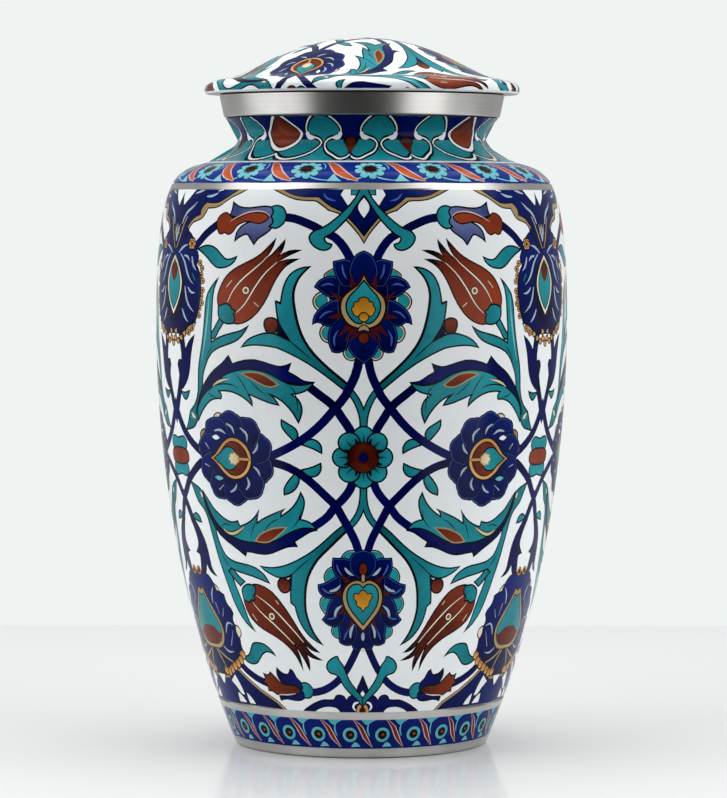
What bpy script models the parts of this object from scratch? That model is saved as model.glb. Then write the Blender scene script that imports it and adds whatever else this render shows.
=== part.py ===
"""Funeral urn: a round enamelled metal vessel, a bare turned collar on its mouth and a domed lid.

Units are metres, +Z up. The origin is the middle of the foot, on the surface that the urn stands on.
Every piece is a turned shape: a profile of (radius, height) points that a Screw modifier spins round Z.
"""
import math

import bpy

# Driving sizes of the vessel's outside: radii, and the height of each station above the one below
FOOT_RADIUS = 0.0475
BELLY_RADIUS = 0.0777
SHOULDER_RADIUS = 0.0719
TURN_RADIUS = 0.0610
THROAT_RADIUS = 0.0468
MOUTH_FLARE = 0.0047
BELLY_RISE = 0.1603
SHOULDER_RISE = 0.0505
TURN_RISE = 0.0081
COVE_RISE = 0.0100
FLARE_RISE = 0.0073

# The vessel's wall and foot
WALL = 0.0025
FOOT_RING_WIDTH = 0.0048
FOOT_RECESS = 0.0030
FOOT_EDGE = 0.0006

# The collar on the mouth
COLLAR_HEIGHT = 0.0085
COLLAR_OVERHANG = 0.0005
COLLAR_SPREAD = 0.0018
COLLAR_EDGE = 0.0008
SPIGOT_WALL = 0.0020

# The lid
BRIM_OVERHANG = 0.0056
BRIM_EDGE_HEIGHT = 0.0020
BRIM_SHOULDER_RISE = 0.0040
BRIM_SHOULDER_WIDTH = 0.0094
BRIM_EDGE = 0.0007
DOME_RISE = 0.0154
LID_WALL = 0.0025
SKIRT_WALL = 0.0022
SKIRT_DEPTH = 0.0090

# Clearances: between faces that rest on each other, and between a spigot and the bore that it drops into
SEAT_GAP = 0.0003
SPIGOT_CLEARANCE = 0.0004

# Counts of steps round the axis and along the curves of the profiles
SEGMENTS = 60
SIDE_STEPS = {"flare": 3, "cove": 4, "turn": 5, "shoulder": 4, "belly": 9}
LINING_STEPS = {"flare": 2, "cove": 3, "turn": 3, "shoulder": 3, "belly": 6}
LID_STEPS = {"dome": 9, "hollow": 6, "brim": 4}
COLLAR_STEPS = {"edge": 2}

# Points of a profile that are closer than this are one point
MERGE_DISTANCE = 0.00001

# Heights of the vessel's stations above the ground
BELLY_HEIGHT = BELLY_RISE
SHOULDER_HEIGHT = BELLY_HEIGHT + SHOULDER_RISE
TURN_HEIGHT = SHOULDER_HEIGHT + TURN_RISE
THROAT_HEIGHT = TURN_HEIGHT + COVE_RISE
MOUTH_HEIGHT = THROAT_HEIGHT + FLARE_RISE
COLLAR_TOP = MOUTH_HEIGHT + SEAT_GAP + COLLAR_HEIGHT

# Radii that follow from the sizes above
MOUTH_RADIUS = THROAT_RADIUS + MOUTH_FLARE
COLLAR_FOOT_RADIUS = MOUTH_RADIUS + COLLAR_OVERHANG
COLLAR_TOP_RADIUS = COLLAR_FOOT_RADIUS + COLLAR_SPREAD
SPIGOT_RADIUS = THROAT_RADIUS - WALL - SPIGOT_CLEARANCE
COLLAR_BORE = SPIGOT_RADIUS - SPIGOT_WALL
BRIM_RADIUS = COLLAR_TOP_RADIUS + BRIM_OVERHANG
SKIRT_RADIUS = COLLAR_BORE - SPIGOT_CLEARANCE
SKIRT_BORE = SKIRT_RADIUS - SKIRT_WALL

# Colours (linear), roughness and metallic of the three finishes
ENAMEL_WHITE = (0.78, 0.79, 0.79, 1.0)
ENAMEL_ROUGHNESS = 0.16
METAL_GREY = (0.60, 0.60, 0.59, 1.0)
METAL_ROUGHNESS = 0.30


def between(start, end, share_across, share_up):
    """The point at a share of the way from start to end, across and up counted each by itself."""
    return (start[0] + share_across * (end[0] - start[0]), start[1] + share_up * (end[1] - start[1]))


def curve(start, end, start_pull, end_pull, steps):
    """Points of a cubic Bezier curve, both ends included.

    Each pull gives that end's handle as shares (across, up) of the way to the other end.
    """
    corners = (start, between(start, end, *start_pull), between(end, start, *end_pull), end)
    points = []
    for i in range(steps + 1):
        t = i / steps
        weights = ((1 - t) ** 3, 3 * t * (1 - t) ** 2, 3 * t * t * (1 - t), t ** 3)
        points.append(tuple(sum(w * c[k] for w, c in zip(weights, corners)) for k in (0, 1)))
    return points


def chain(*runs):
    """One list of points from several runs, without the points where one run ends and the next starts."""
    points = []
    for run in runs:
        for point in run:
            if not points or math.dist(point, points[-1]) > MERGE_DISTANCE:
                points.append(point)
    return points


def offset_inwards(points, distance):
    """The profile moved towards the inside of the piece, for a run that goes down its outer side."""
    moved = []
    for i, (radius, height) in enumerate(points):
        before = points[max(i - 1, 0)]
        after = points[min(i + 1, len(points) - 1)]
        along = (after[0] - before[0], after[1] - before[1])
        length = math.hypot(*along)
        moved.append((radius + distance * along[1] / length, height - distance * along[0] / length))
    return moved


def radius_at(points, height):
    """Radius of a profile that runs downwards, at a height that it passes."""
    for upper, lower in zip(points, points[1:]):
        if upper[1] >= height >= lower[1]:
            share = (upper[1] - height) / (upper[1] - lower[1])
            return upper[0] + share * (lower[0] - upper[0])
    return points[-1][0]


def height_at(points, radius):
    """Height of a profile that runs outwards, at a radius that it passes."""
    for inner, outer in zip(points, points[1:]):
        if inner[0] <= radius <= outer[0]:
            share = (radius - inner[0]) / (outer[0] - inner[0])
            return inner[1] + share * (outer[1] - inner[1])
    return points[-1][1]


def vessel_side(steps):
    """The vessel's outer side from the mouth down to the foot, as one smooth line."""
    mouth = (MOUTH_RADIUS, MOUTH_HEIGHT)
    throat = (THROAT_RADIUS, THROAT_HEIGHT)
    turn = (TURN_RADIUS, TURN_HEIGHT)
    shoulder = (SHOULDER_RADIUS, SHOULDER_HEIGHT)
    belly = (BELLY_RADIUS, BELLY_HEIGHT)
    foot = (FOOT_RADIUS, 0.0)
    return chain(
        curve(mouth, throat, (0.50, 0.35), (0.0, 0.40), steps["flare"]),
        curve(throat, turn, (0.0, 0.61), (0.085, 0.03), steps["cove"]),
        curve(turn, shoulder, (0.33, 0.10), (0.18, 0.61), steps["turn"]),
        curve(shoulder, belly, (0.26, 0.075), (0.0, 0.79), steps["shoulder"]),
        curve(belly, foot, (0.0, 0.37), (0.63, 0.28), steps["belly"]))


def vessel_profile():
    """Closed outline of the hollow vessel: floor, inner wall, mouth, outer side, foot ring, recess."""
    outer = vessel_side(SIDE_STEPS)
    inner = offset_inwards(vessel_side(LINING_STEPS), WALL)
    inner[0] = (MOUTH_RADIUS - WALL, MOUTH_HEIGHT)
    floor_height = FOOT_RECESS + WALL
    bend_height = floor_height + WALL
    floor = [(0.0, floor_height), (radius_at(inner, floor_height) - WALL, floor_height)]
    lining = [point for point in inner if point[1] > bend_height]
    lining.append((radius_at(inner, bend_height), bend_height))
    side = [point for point in outer if point[1] > FOOT_EDGE]
    side.append((radius_at(outer, FOOT_EDGE), FOOT_EDGE))
    ring_inside = FOOT_RADIUS - FOOT_EDGE - FOOT_RING_WIDTH
    underside = [
        (FOOT_RADIUS - FOOT_EDGE, 0.0), (ring_inside, 0.0), (ring_inside, FOOT_RECESS), (0.0, FOOT_RECESS)]
    return chain(floor, lining[::-1], side, underside)


def collar_profile():
    """Closed outline of the collar: a slightly spreading band with a spigot that drops into the throat."""
    foot = MOUTH_HEIGHT + SEAT_GAP
    band = [(COLLAR_BORE, THROAT_HEIGHT), (COLLAR_BORE, COLLAR_TOP), (COLLAR_TOP_RADIUS, COLLAR_TOP)]
    edge_radius = COLLAR_FOOT_RADIUS + COLLAR_SPREAD * COLLAR_EDGE / COLLAR_HEIGHT
    edge = curve(
        (edge_radius, foot + COLLAR_EDGE), (COLLAR_FOOT_RADIUS - COLLAR_EDGE, foot),
        (0.1, 0.6), (0.6, 0.0), COLLAR_STEPS["edge"])
    spigot = [(SPIGOT_RADIUS, foot), (SPIGOT_RADIUS, THROAT_HEIGHT), (COLLAR_BORE, THROAT_HEIGHT)]
    return band + edge + spigot


def lid_dome(steps):
    """The lid's upper surface from the top of the dome out to the dome's foot."""
    foot_height = COLLAR_TOP + SEAT_GAP + BRIM_EDGE_HEIGHT + BRIM_SHOULDER_RISE
    top = (0.0, foot_height + DOME_RISE)
    foot = (BRIM_RADIUS - BRIM_SHOULDER_WIDTH, foot_height)
    return curve(top, foot, (0.54, 0.0), (0.18, 0.11), steps)


def lid_profile():
    """Closed outline of the lid: dome, brim, seat, skirt and the hollow under the dome."""
    seat = COLLAR_TOP + SEAT_GAP
    dome = lid_dome(LID_STEPS["dome"])
    brim = curve(
        dome[-1], (BRIM_RADIUS, seat + BRIM_EDGE_HEIGHT), (0.63, 0.16), (0.0, 0.52), LID_STEPS["brim"])
    edge = [(BRIM_RADIUS, seat + BRIM_EDGE), (BRIM_RADIUS - BRIM_EDGE, seat)]
    hollow = offset_inwards(lid_dome(LID_STEPS["hollow"]), LID_WALL)
    hollow[0] = (0.0, hollow[0][1])
    skirt_foot = seat - SKIRT_DEPTH
    skirt = [
        (SKIRT_RADIUS, seat), (SKIRT_RADIUS, skirt_foot),
        (SKIRT_BORE, skirt_foot), (SKIRT_BORE, height_at(hollow, SKIRT_BORE))]
    ceiling = [point for point in hollow[::-1] if point[0] < SKIRT_BORE]
    return chain(dome, brim, edge, skirt, ceiling)


def finish(name, colour, roughness, metallic):
    """A plain material for one sub-part."""
    material = bpy.data.materials.new(name)
    material.use_nodes = True
    shader = material.node_tree.nodes["Principled BSDF"]
    shader.inputs["Base Color"].default_value = colour
    shader.inputs["Roughness"].default_value = roughness
    shader.inputs["Metallic"].default_value = metallic
    material.diffuse_color = colour
    return material


def turned_piece(name, profile, material, collection):
    """Spin a profile, which runs down its outer side at +X, once round Z into one closed piece.

    The profile either starts and ends on the axis, or ends where it starts, clear of the axis.
    """
    is_loop = profile[0] == profile[-1]
    points = profile[:-1] if is_loop else profile
    edges = [(i, i + 1) for i in range(len(points) - 1)]
    if is_loop:
        edges.append((len(points) - 1, 0))
    mesh = bpy.data.meshes.new(name)
    mesh.from_pydata([(radius, 0.0, height) for radius, height in points], edges, [])
    mesh.materials.append(material)
    piece = bpy.data.objects.new(name, mesh)
    collection.objects.link(piece)
    spin = piece.modifiers.new("spin", "SCREW")
    spin.axis = "Z"
    spin.angle = math.tau
    spin.steps = SEGMENTS
    spin.render_steps = SEGMENTS
    spin.use_merge_vertices = True
    spin.merge_threshold = MERGE_DISTANCE
    spin.use_smooth_shade = True
    return piece


def build_body(collection):
    """The hollow vessel, enamelled metal."""
    enamel = finish("enamelled metal, vessel", ENAMEL_WHITE, ENAMEL_ROUGHNESS, 0.0)
    return turned_piece("body", vessel_profile(), enamel, collection)


def build_neck_ring(collection):
    """The bare collar that the lid seats on."""
    metal = finish("brushed bare metal", METAL_GREY, METAL_ROUGHNESS, 1.0)
    return turned_piece("neck_ring", collar_profile(), metal, collection)


def build_lid(collection):
    """The domed lid, enamelled metal, which lifts off."""
    enamel = finish("enamelled metal, lid", ENAMEL_WHITE, ENAMEL_ROUGHNESS, 0.0)
    return turned_piece("lid", lid_profile(), enamel, collection)


def main():
    for old in list(bpy.data.objects):
        bpy.data.objects.remove(old, do_unlink=True)
    collection = bpy.data.collections.new("funeral_urn")
    bpy.context.scene.collection.children.link(collection)
    build_body(collection)
    build_neck_ring(collection)
    build_lid(collection)


main()
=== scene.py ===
"""Looks of the enamelled funeral urn: the painted vessel, the turned collar and the painted lid."""
import math
from collections import namedtuple

import bmesh
import bpy
import numpy as np
from mathutils import Matrix, Vector
from mathutils.geometry import delaunay_2d_cdt


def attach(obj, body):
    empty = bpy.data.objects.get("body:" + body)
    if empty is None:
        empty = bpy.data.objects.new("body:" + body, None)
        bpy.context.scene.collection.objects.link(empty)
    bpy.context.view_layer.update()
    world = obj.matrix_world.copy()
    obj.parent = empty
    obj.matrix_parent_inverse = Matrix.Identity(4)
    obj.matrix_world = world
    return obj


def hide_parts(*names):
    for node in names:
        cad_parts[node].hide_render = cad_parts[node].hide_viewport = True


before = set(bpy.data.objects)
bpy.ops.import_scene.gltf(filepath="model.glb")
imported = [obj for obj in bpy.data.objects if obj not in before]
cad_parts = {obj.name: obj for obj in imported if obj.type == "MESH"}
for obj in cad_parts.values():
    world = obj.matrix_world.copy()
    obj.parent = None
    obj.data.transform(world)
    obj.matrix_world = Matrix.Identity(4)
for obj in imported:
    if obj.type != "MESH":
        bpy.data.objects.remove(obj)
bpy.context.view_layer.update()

MM = 0.001

# Drawing: an outline is an array of points in millimetres on a wall laid flat.
# A third value of 1 marks a corner or a tip; every other point is passed smoothly.

BEND_ERROR = 0.045
BRUSH_LINE = 0.62
Patch = namedtuple("Patch", "outline glaze low high along")


def smooth(points, closed=True):
    """Curve through the points, with no more steps than its bends need."""
    spots = [np.array(point[:2], float) for point in points]
    corner = [len(point) > 2 for point in points]
    count = len(spots)
    if not closed:
        corner[0] = corner[-1] = True
    slopes = []
    for k in range(count):
        before, here, after = spots[k - 1], spots[k], spots[(k + 1) % count]
        back, ahead = here - before, after - here
        back_run, ahead_run = np.hypot(*back) + 1e-9, np.hypot(*ahead) + 1e-9
        slopes.append((back / back_run * ahead_run + ahead / ahead_run * back_run) / (back_run + ahead_run))
    line = []
    for k in range(count if closed else count - 1):
        start, end = spots[k], spots[(k + 1) % count]
        chord = end - start
        run = np.hypot(*chord) + 1e-9
        leave, arrive = slopes[k], slopes[(k + 1) % count]
        at_corner = corner[k], corner[(k + 1) % count]
        if at_corner[0] and at_corner[1]:
            line.append(start)
            continue
        if at_corner[0]:
            leave = 1.5 * chord / run - 0.5 * arrive
        if at_corner[1]:
            arrive = 1.5 * chord / run - 0.5 * leave
        turn = math.acos(np.clip(np.dot(leave, arrive) / (np.hypot(*leave) * np.hypot(*arrive) + 1e-9), -1, 1))
        steps = max(1, math.ceil(math.sqrt(run * turn / (8 * BEND_ERROR))))
        for step in range(steps):
            t = step / steps
            line.append(start * (2 * t**3 - 3 * t**2 + 1) + leave * run * (t**3 - 2 * t**2 + t)
                        + end * (3 * t**2 - 2 * t**3) + arrive * run * (t**3 - t**2))
    if not closed:
        line.append(spots[-1])
    return np.array(line)


def turned_area(outline):
    """Twice the area inside, positive where the outline runs anticlockwise."""
    after = np.roll(outline, -1, axis=0)
    return float(np.sum(outline[:, 0] * after[:, 1] - after[:, 0] * outline[:, 1]))


def grown(outline, margin):
    """The outline moved outwards by the margin, or inwards where it is negative."""
    line = outline if turned_area(outline) > 0 else outline[::-1]
    ahead = np.roll(line, -1, axis=0) - line
    ahead /= np.linalg.norm(ahead, axis=1, keepdims=True) + 1e-9
    back = np.roll(ahead, 1, axis=0)
    out = np.stack([ahead[:, 1] + back[:, 1], -ahead[:, 0] - back[:, 0]], axis=1)
    out /= np.linalg.norm(out, axis=1, keepdims=True) + 1e-9
    reach = 1 / np.clip(out[:, 0] * ahead[:, 1] - out[:, 1] * ahead[:, 0], 0.45, 1)
    return line + out * reach[:, None] * margin


def stroke(points, width, start=1.0, end=1.0):
    """A brush stroke along the points: its width in the middle, and what share it keeps at each end."""
    line = smooth(points, closed=False)
    ahead = np.gradient(line, axis=0)
    ahead /= np.linalg.norm(ahead, axis=1, keepdims=True) + 1e-9
    runs = np.concatenate([[0], np.cumsum(np.hypot(*np.diff(line, axis=0).T))])
    place = runs / runs[-1]
    half = width / 2 * np.interp(place, [0, 0.35, 0.65, 1], [start, 1, 1, end])
    side = np.stack([-ahead[:, 1], ahead[:, 0]], axis=1) * half[:, None]
    left, right = line + side, (line - side)[::-1]
    nose = line[-1] + ahead[-1] * half[-1] * 0.8
    tail = line[0] - ahead[0] * half[0] * 0.8
    return np.vstack([left, nose, right, tail])


def disc(centre, radius, tall=1.0):
    """A round or oval outline."""
    steps = max(10, math.ceil(math.pi / math.acos(1 - BEND_ERROR / max(radius, 0.2))))
    angles = np.arange(steps) * 2 * math.pi / steps
    return np.stack([centre[0] + radius * np.cos(angles), centre[1] + radius * tall * np.sin(angles)], axis=1)


def scalloped(centre, radius, lobes, depth, turn=0.0):
    """A round flower outline with lobes."""
    angles = np.arange(lobes * 10) * 2 * math.pi / (lobes * 10)
    reach = radius - depth + depth * np.sqrt(np.abs(np.cos((angles - turn) * lobes / 2)))
    return np.stack([centre[0] + reach * np.cos(angles), centre[1] + reach * np.sin(angles)], axis=1)


def along_curve(points, count):
    """Evenly spaced places on a curve, each with its direction in radians."""
    line = smooth(points, closed=False)
    runs = np.concatenate([[0], np.cumsum(np.hypot(*np.diff(line, axis=0).T))])
    places = np.linspace(0, runs[-1], count)
    x, y = np.interp(places, runs, line[:, 0]), np.interp(places, runs, line[:, 1])
    return [(a, b, math.atan2(d, c)) for a, b, c, d in zip(x, y, np.gradient(x), np.gradient(y))]


class Sheet:
    """A stretch of wall laid flat, with its painting in layers, the last one on top."""

    def __init__(self):
        self.patches = []

    def fill(self, outline, glaze, low=0.4, high=None, along=(0, 1)):
        outline = smooth(outline) if isinstance(outline, list) else outline
        self.patches.append(Patch(outline, glaze, low, low if high is None else high, along))

    def drawn(self, outline, glaze, low=0.3, high=0.7, along=(0, 1), line=BRUSH_LINE, ink="ink", heavy=None):
        """A filled shape with a brush line round it, which may be heavier on one side."""
        outline = smooth(outline) if isinstance(outline, list) else outline
        self.fill(grown(outline, line / 2), ink)
        if heavy:
            self.fill(grown(outline, line / 2) + heavy, ink)
        self.fill(grown(outline, -line / 2), glaze, low, high, along)

    def stroke(self, points, width, glaze, start=1.0, end=1.0, low=0.4, high=None, line=0.0, ink="ink"):
        if line:
            self.fill(stroke(points, width + line, start, end), ink)
            width -= line
        self.fill(stroke(points, width, start, end), glaze, low, high, (0, 1))

    def ring(self, centre, radius, band, glaze, inside, line=0.35, tall=1.0):
        """A round band with a brush line on both its edges."""
        self.fill(disc(centre, radius + line, tall), "ink")
        self.fill(disc(centre, radius, tall), glaze)
        self.fill(disc(centre, radius - band, tall), "ink")
        self.fill(disc(centre, radius - band - line, tall), inside)


# Main field: one half of a repeat, from the axis of the middle palmettes to that of the side ones.
# Across, 0 is the front of the vessel; up is measured along the wall from the ground.

DRAWING_RADIUS = 76.0
FIRST_AXIS = 0.8
HALF_REPEAT = DRAWING_RADIUS * math.pi / 3
SECOND_AXIS = FIRST_AXIS + HALF_REPEAT
PAST_FIRST = FIRST_AXIS - 4
PAST_SECOND = SECOND_AXIS + 4


def ribbons(sheet):
    """Turquoise ribbons that leave the middle flower and run under the stems into the forked leaves."""
    for points in ([(0.95, 127.6), (1.1, 131), (2, 134.6), (3.6, 138.2), (5.6, 141), (9, 144)],
                   [(0.95, 106), (1.1, 101), (1.9, 97.4), (3.2, 94.6), (5.2, 92), (8.4, 89.6)]):
        sheet.stroke(points, 2.1, "turquoise", low=0.5, line=0.55)


def stems(sheet):
    """Navy stems that link the palmettes and cross on both axes."""
    upper_cross, lower_cross = (10.3, 134.7), (10.5, 98.9)
    upper_side, lower_side = (79.4, 131.8), (80.4, 99.2)
    for points in (
            [(2.4, 152), (3.6, 146.5), (5.2, 142.8), (7, 139), upper_cross, (14.5, 129.5), (19, 125.2),
             (23.5, 122), (28, 119.4), (34, 116.6)],
            [(18.8, 142), (15.5, 139.3), (12, 136.5), upper_cross, (8, 131), (5.5, 127), (3.8, 121),
             (3.4, 116), (3.9, 111), (5.5, 105), (8.2, 101.3), lower_cross, (13.2, 95.3), (18.6, 91.2)],
            [(34, 114.7), (27, 112.7), (22, 109.8), (17.5, 106), (13.5, 102), lower_cross, (8.6, 95.4),
             (6, 90.5), (3.7, 85.8), (2.3, 81)],
            [(64.5, 116.6), (70, 120), (74.5, 124), (77.3, 128), upper_side, (82.4, 137.2)],
            [(75.2, 144.2), (76.4, 140), (78, 136), upper_side, (81.4, 128), (83.6, 124.6)],
            [(65.2, 113.4), (71.5, 109), (75.5, 105.3), (78, 102), lower_side, (82.6, 95.4)],
            [(74.6, 88.6), (76.8, 92.6), (78.6, 96.2), lower_side, (82.4, 102.6)]):
        sheet.stroke(points, 3.1, "navy", low=0.5, high=0.8)
    for points in ([(5.2, 188.1), (7.5, 192.5), (10.5, 196), (14.3, 198), (18, 200.1), (21.2, 201.5),
                    (24.8, 202.8), (29, 203.3)],
                   [(55, 201), (59.3, 198.4), (62.2, 196.3), (64.3, 194.3), (67.5, 191.8)],
                   [(2.2, 47), (3.6, 44), (5.5, 40.3), (8, 36.3), (11.3, 32.5), (15, 29.8), (19, 28), (24, 27)],
                   [(47.2, 29.6), (52, 31), (56, 32.8), (59, 34.6), (61.5, 36.6)]):
        sheet.stroke(points, 3.1, "navy", low=0.5, high=0.8)


def small_leaves(sheet):
    """Single turquoise leaves that fill the gaps between the stems."""
    for outline in (
            [(29.1, 130.1, 1), (26.6, 128.6), (24.1, 126.9), (23.3, 124.6), (24.6, 122.4, 1), (27.3, 125.1),
             (29.1, 127.9)],
            [(15.2, 118.3, 1), (15.2, 120.6), (16.6, 122.6), (18.2, 123.3), (22, 121.2, 1), (18, 119.8)],
            [(15.6, 114.5, 1), (15.5, 112.2), (16.9, 110.1), (18.5, 109.5), (22.5, 112, 1), (18, 113.3)],
            [(29.1, 102.7, 1), (25.9, 104), (23.7, 106.9), (23.4, 109), (24.9, 110.4, 1), (28, 106.9), (29.1, 104.7)],
            [(70, 139.3, 1), (71.4, 136.7), (72.6, 136), (74.8, 137.6), (76, 139, 1), (73, 138.6)],
            [(69.8, 90.4, 1), (71.3, 93.1), (73.4, 93.6), (75.6, 92.2, 1), (73.5, 91)]):
        sheet.drawn(outline, "turquoise", 0.55, 0.25, (1, 1))


def crossing_buds(sheet):
    """Turquoise stems with a bulb that cross under the top and over the bottom of the middle palmettes."""
    sheet.drawn([(-2, 213.9, 1), (1.2, 211), (5.2, 204.6), (9, 200), (12, 197.2), (14.1, 195.8), (13.2, 194),
                 (11.6, 193.5), (12.1, 192.2), (14.4, 191.4), (16.6, 192.1), (18.5, 193.8), (19.3, 196.2),
                 (17.8, 198.3), (15.2, 199.3), (11.8, 201.6), (7.4, 205.9), (3.8, 210.4), (2.2, 213.9, 1)],
                "turquoise", 0.6, 0.3, (1, -1))
    sheet.drawn([(0.8, 21.4, 1), (2.9, 24), (5.6, 26.3), (8.3, 28.8), (10.2, 31.4), (11.3, 33.6), (13, 34.6),
                 (15.2, 35.2), (16.5, 37.4), (15.6, 39.6), (13.4, 41.2), (11.6, 41.7), (11, 40.2), (9.4, 38.3),
                 (8.2, 35.6), (6.8, 32.4), (4.2, 29), (0.8, 25.2, 1)], "turquoise", 0.6, 0.3, (1, 1))


def tulip(sheet, upper=True):
    """Tomato-red tulip with long dark petal tips, a turquoise calyx, and white lines and dabs."""
    if upper:
        body = [(53.8, 170.7), (54.3, 173.4), (53.2, 177.4), (51.4, 180.6), (48.9, 183.1), (45.4, 185.3),
                (40, 187.8), (36.2, 190.2), (33.8, 192.6), (31.2, 195.5, 1), (31.9, 193.2), (33, 191), (34.9, 187.9, 1),
                (32.4, 189.7), (30.2, 192.2), (27.8, 195.1, 1), (28.4, 192.2), (29.9, 189.2, 1), (26.2, 191),
                (22, 191.4, 1), (26, 189.7), (31.2, 186.5, 1), (27, 187.8), (22.8, 188.2, 1), (25.6, 186.8),
                (27.8, 185.1),
                (30, 182.2), (31.8, 178.9), (33.6, 174.9), (36.9, 169.6), (39.6, 166.9), (42.5, 165.2),
                (46, 164.5), (50, 166)]
        calyx = [(53.9, 170.6, 1), (52, 171.5), (50, 171.7), (48.5, 171), (47.9, 169.8, 1), (46.4, 169.2),
                 (47.2, 168), (46.6, 166.5), (47.2, 164.7, 1), (50.2, 164.5), (53.4, 166.4)]
        lines = ([(30.4, 187), (32.4, 185.3), (34.4, 183.4), (36.4, 181), (38.8, 177.6), (41.4, 173.4), (43.2, 171),
                  (46, 168.6)],
                 [(34.2, 188.9), (36.2, 186.8), (38.8, 184.7), (42.9, 181.4), (46, 178.4), (48.2, 175.4), (49.7, 172.5)])
        dark = ((0.5, [(31.3, 195.3), (32.4, 193.3), (33.8, 191.4)]), (0.9, [(27.9, 194.9), (29, 192.5), (30.6, 190.4)]),
                (0.8, [(22.3, 191.3), (26, 190.4), (29, 188.8)]), (0.8, [(23.1, 188.1), (26, 187.2), (28.6, 185.8)]))
        ring, dab, gleam = (42.2, 176.7), [(37.2, 171), (38.9, 172.4)], [(48.1, 180.2), (50.3, 177.8)]
        body_tone, lean = (0.2, 0.8), (-1, 1)
    else:
        body = [(45.6, 68.4), (42.6, 68.2), (40, 67.3), (37.4, 65.7), (33.9, 61.8), (30.6, 57), (27.6, 52),
                (24.6, 47.8), (19.3, 43.2, 1), (22.6, 44.1), (26, 47.6, 1), (23.4, 43.2), (18.3, 40.1, 1),
                (22.2, 40.9), (25.1, 42.3, 1), (24.2, 39.6), (24.3, 36, 1), (26, 39.8), (30.4, 46.8, 1),
                (28.2, 41.4), (27.4, 35.9, 1), (29, 40), (33, 45), (38, 48.4), (44, 51.2), (48.9, 54.8), (51, 58.6),
                (51.5, 62.4), (49.4, 66.4)]
        calyx = [(45, 67.7, 1), (48.8, 68.2), (51.6, 66.2), (51.5, 62.2, 1), (49.2, 61.3), (47.6, 62.3, 1),
                 (46, 62.4), (46.3, 63.8), (45.1, 65.2)]
        lines = ([(45, 64.2), (41.6, 62.2), (37.8, 59.4), (33.2, 55), (29.2, 50.8), (25.8, 46.9)],
                 [(47.3, 61.3), (44.2, 58), (38.6, 53.6), (34, 49.6), (30.2, 46)])
        dark = ((0.8, [(19.7, 43.4), (22.4, 45), (24.6, 47.4)]), (0.9, [(18.7, 40.2), (21.8, 41.5), (24.8, 43.8)]),
                (0.7, [(24.4, 36.4), (25, 39), (26.4, 41.8)]), (0.7, [(27.5, 36.3), (28.2, 39.4), (30, 42.6)]))
        ring, dab, gleam = (38.9, 56.4), [(35.2, 61.3), (36.2, 62.6)], [(46.6, 54.4), (48.3, 56.8)]
        body_tone, lean = (0.5, 1.0), (-1, -1)
    sheet.drawn(body, "tomato", *body_tone, lean, line=0.55)
    for width, tip in dark:
        sheet.stroke(tip, width, "ink", 0.3, 0.1)
    for line in lines:
        sheet.stroke(line, 0.75, "ivory", 0.35, 0.5, low=0.0, line=0.25, ink="umber")
    sheet.ring(ring, 1.35, 0.6, "ivory", "tomato", 0.3)
    sheet.stroke([(ring[0] - 0.1, ring[1] - 0.3), (ring[0] + 0.5, ring[1] + 0.3)], 0.5, "gold", 0.5, 0.5)
    sheet.stroke(dab, 1.2, "ivory", 0.5, 0.5, low=0.9, line=0.3)
    sheet.stroke(gleam, 1.0, "ivory", 0.4, 0.4, low=0.5, line=0.25)
    sheet.drawn(calyx, "turquoise", 0.65, 0.3, (1, 0.3))


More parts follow.
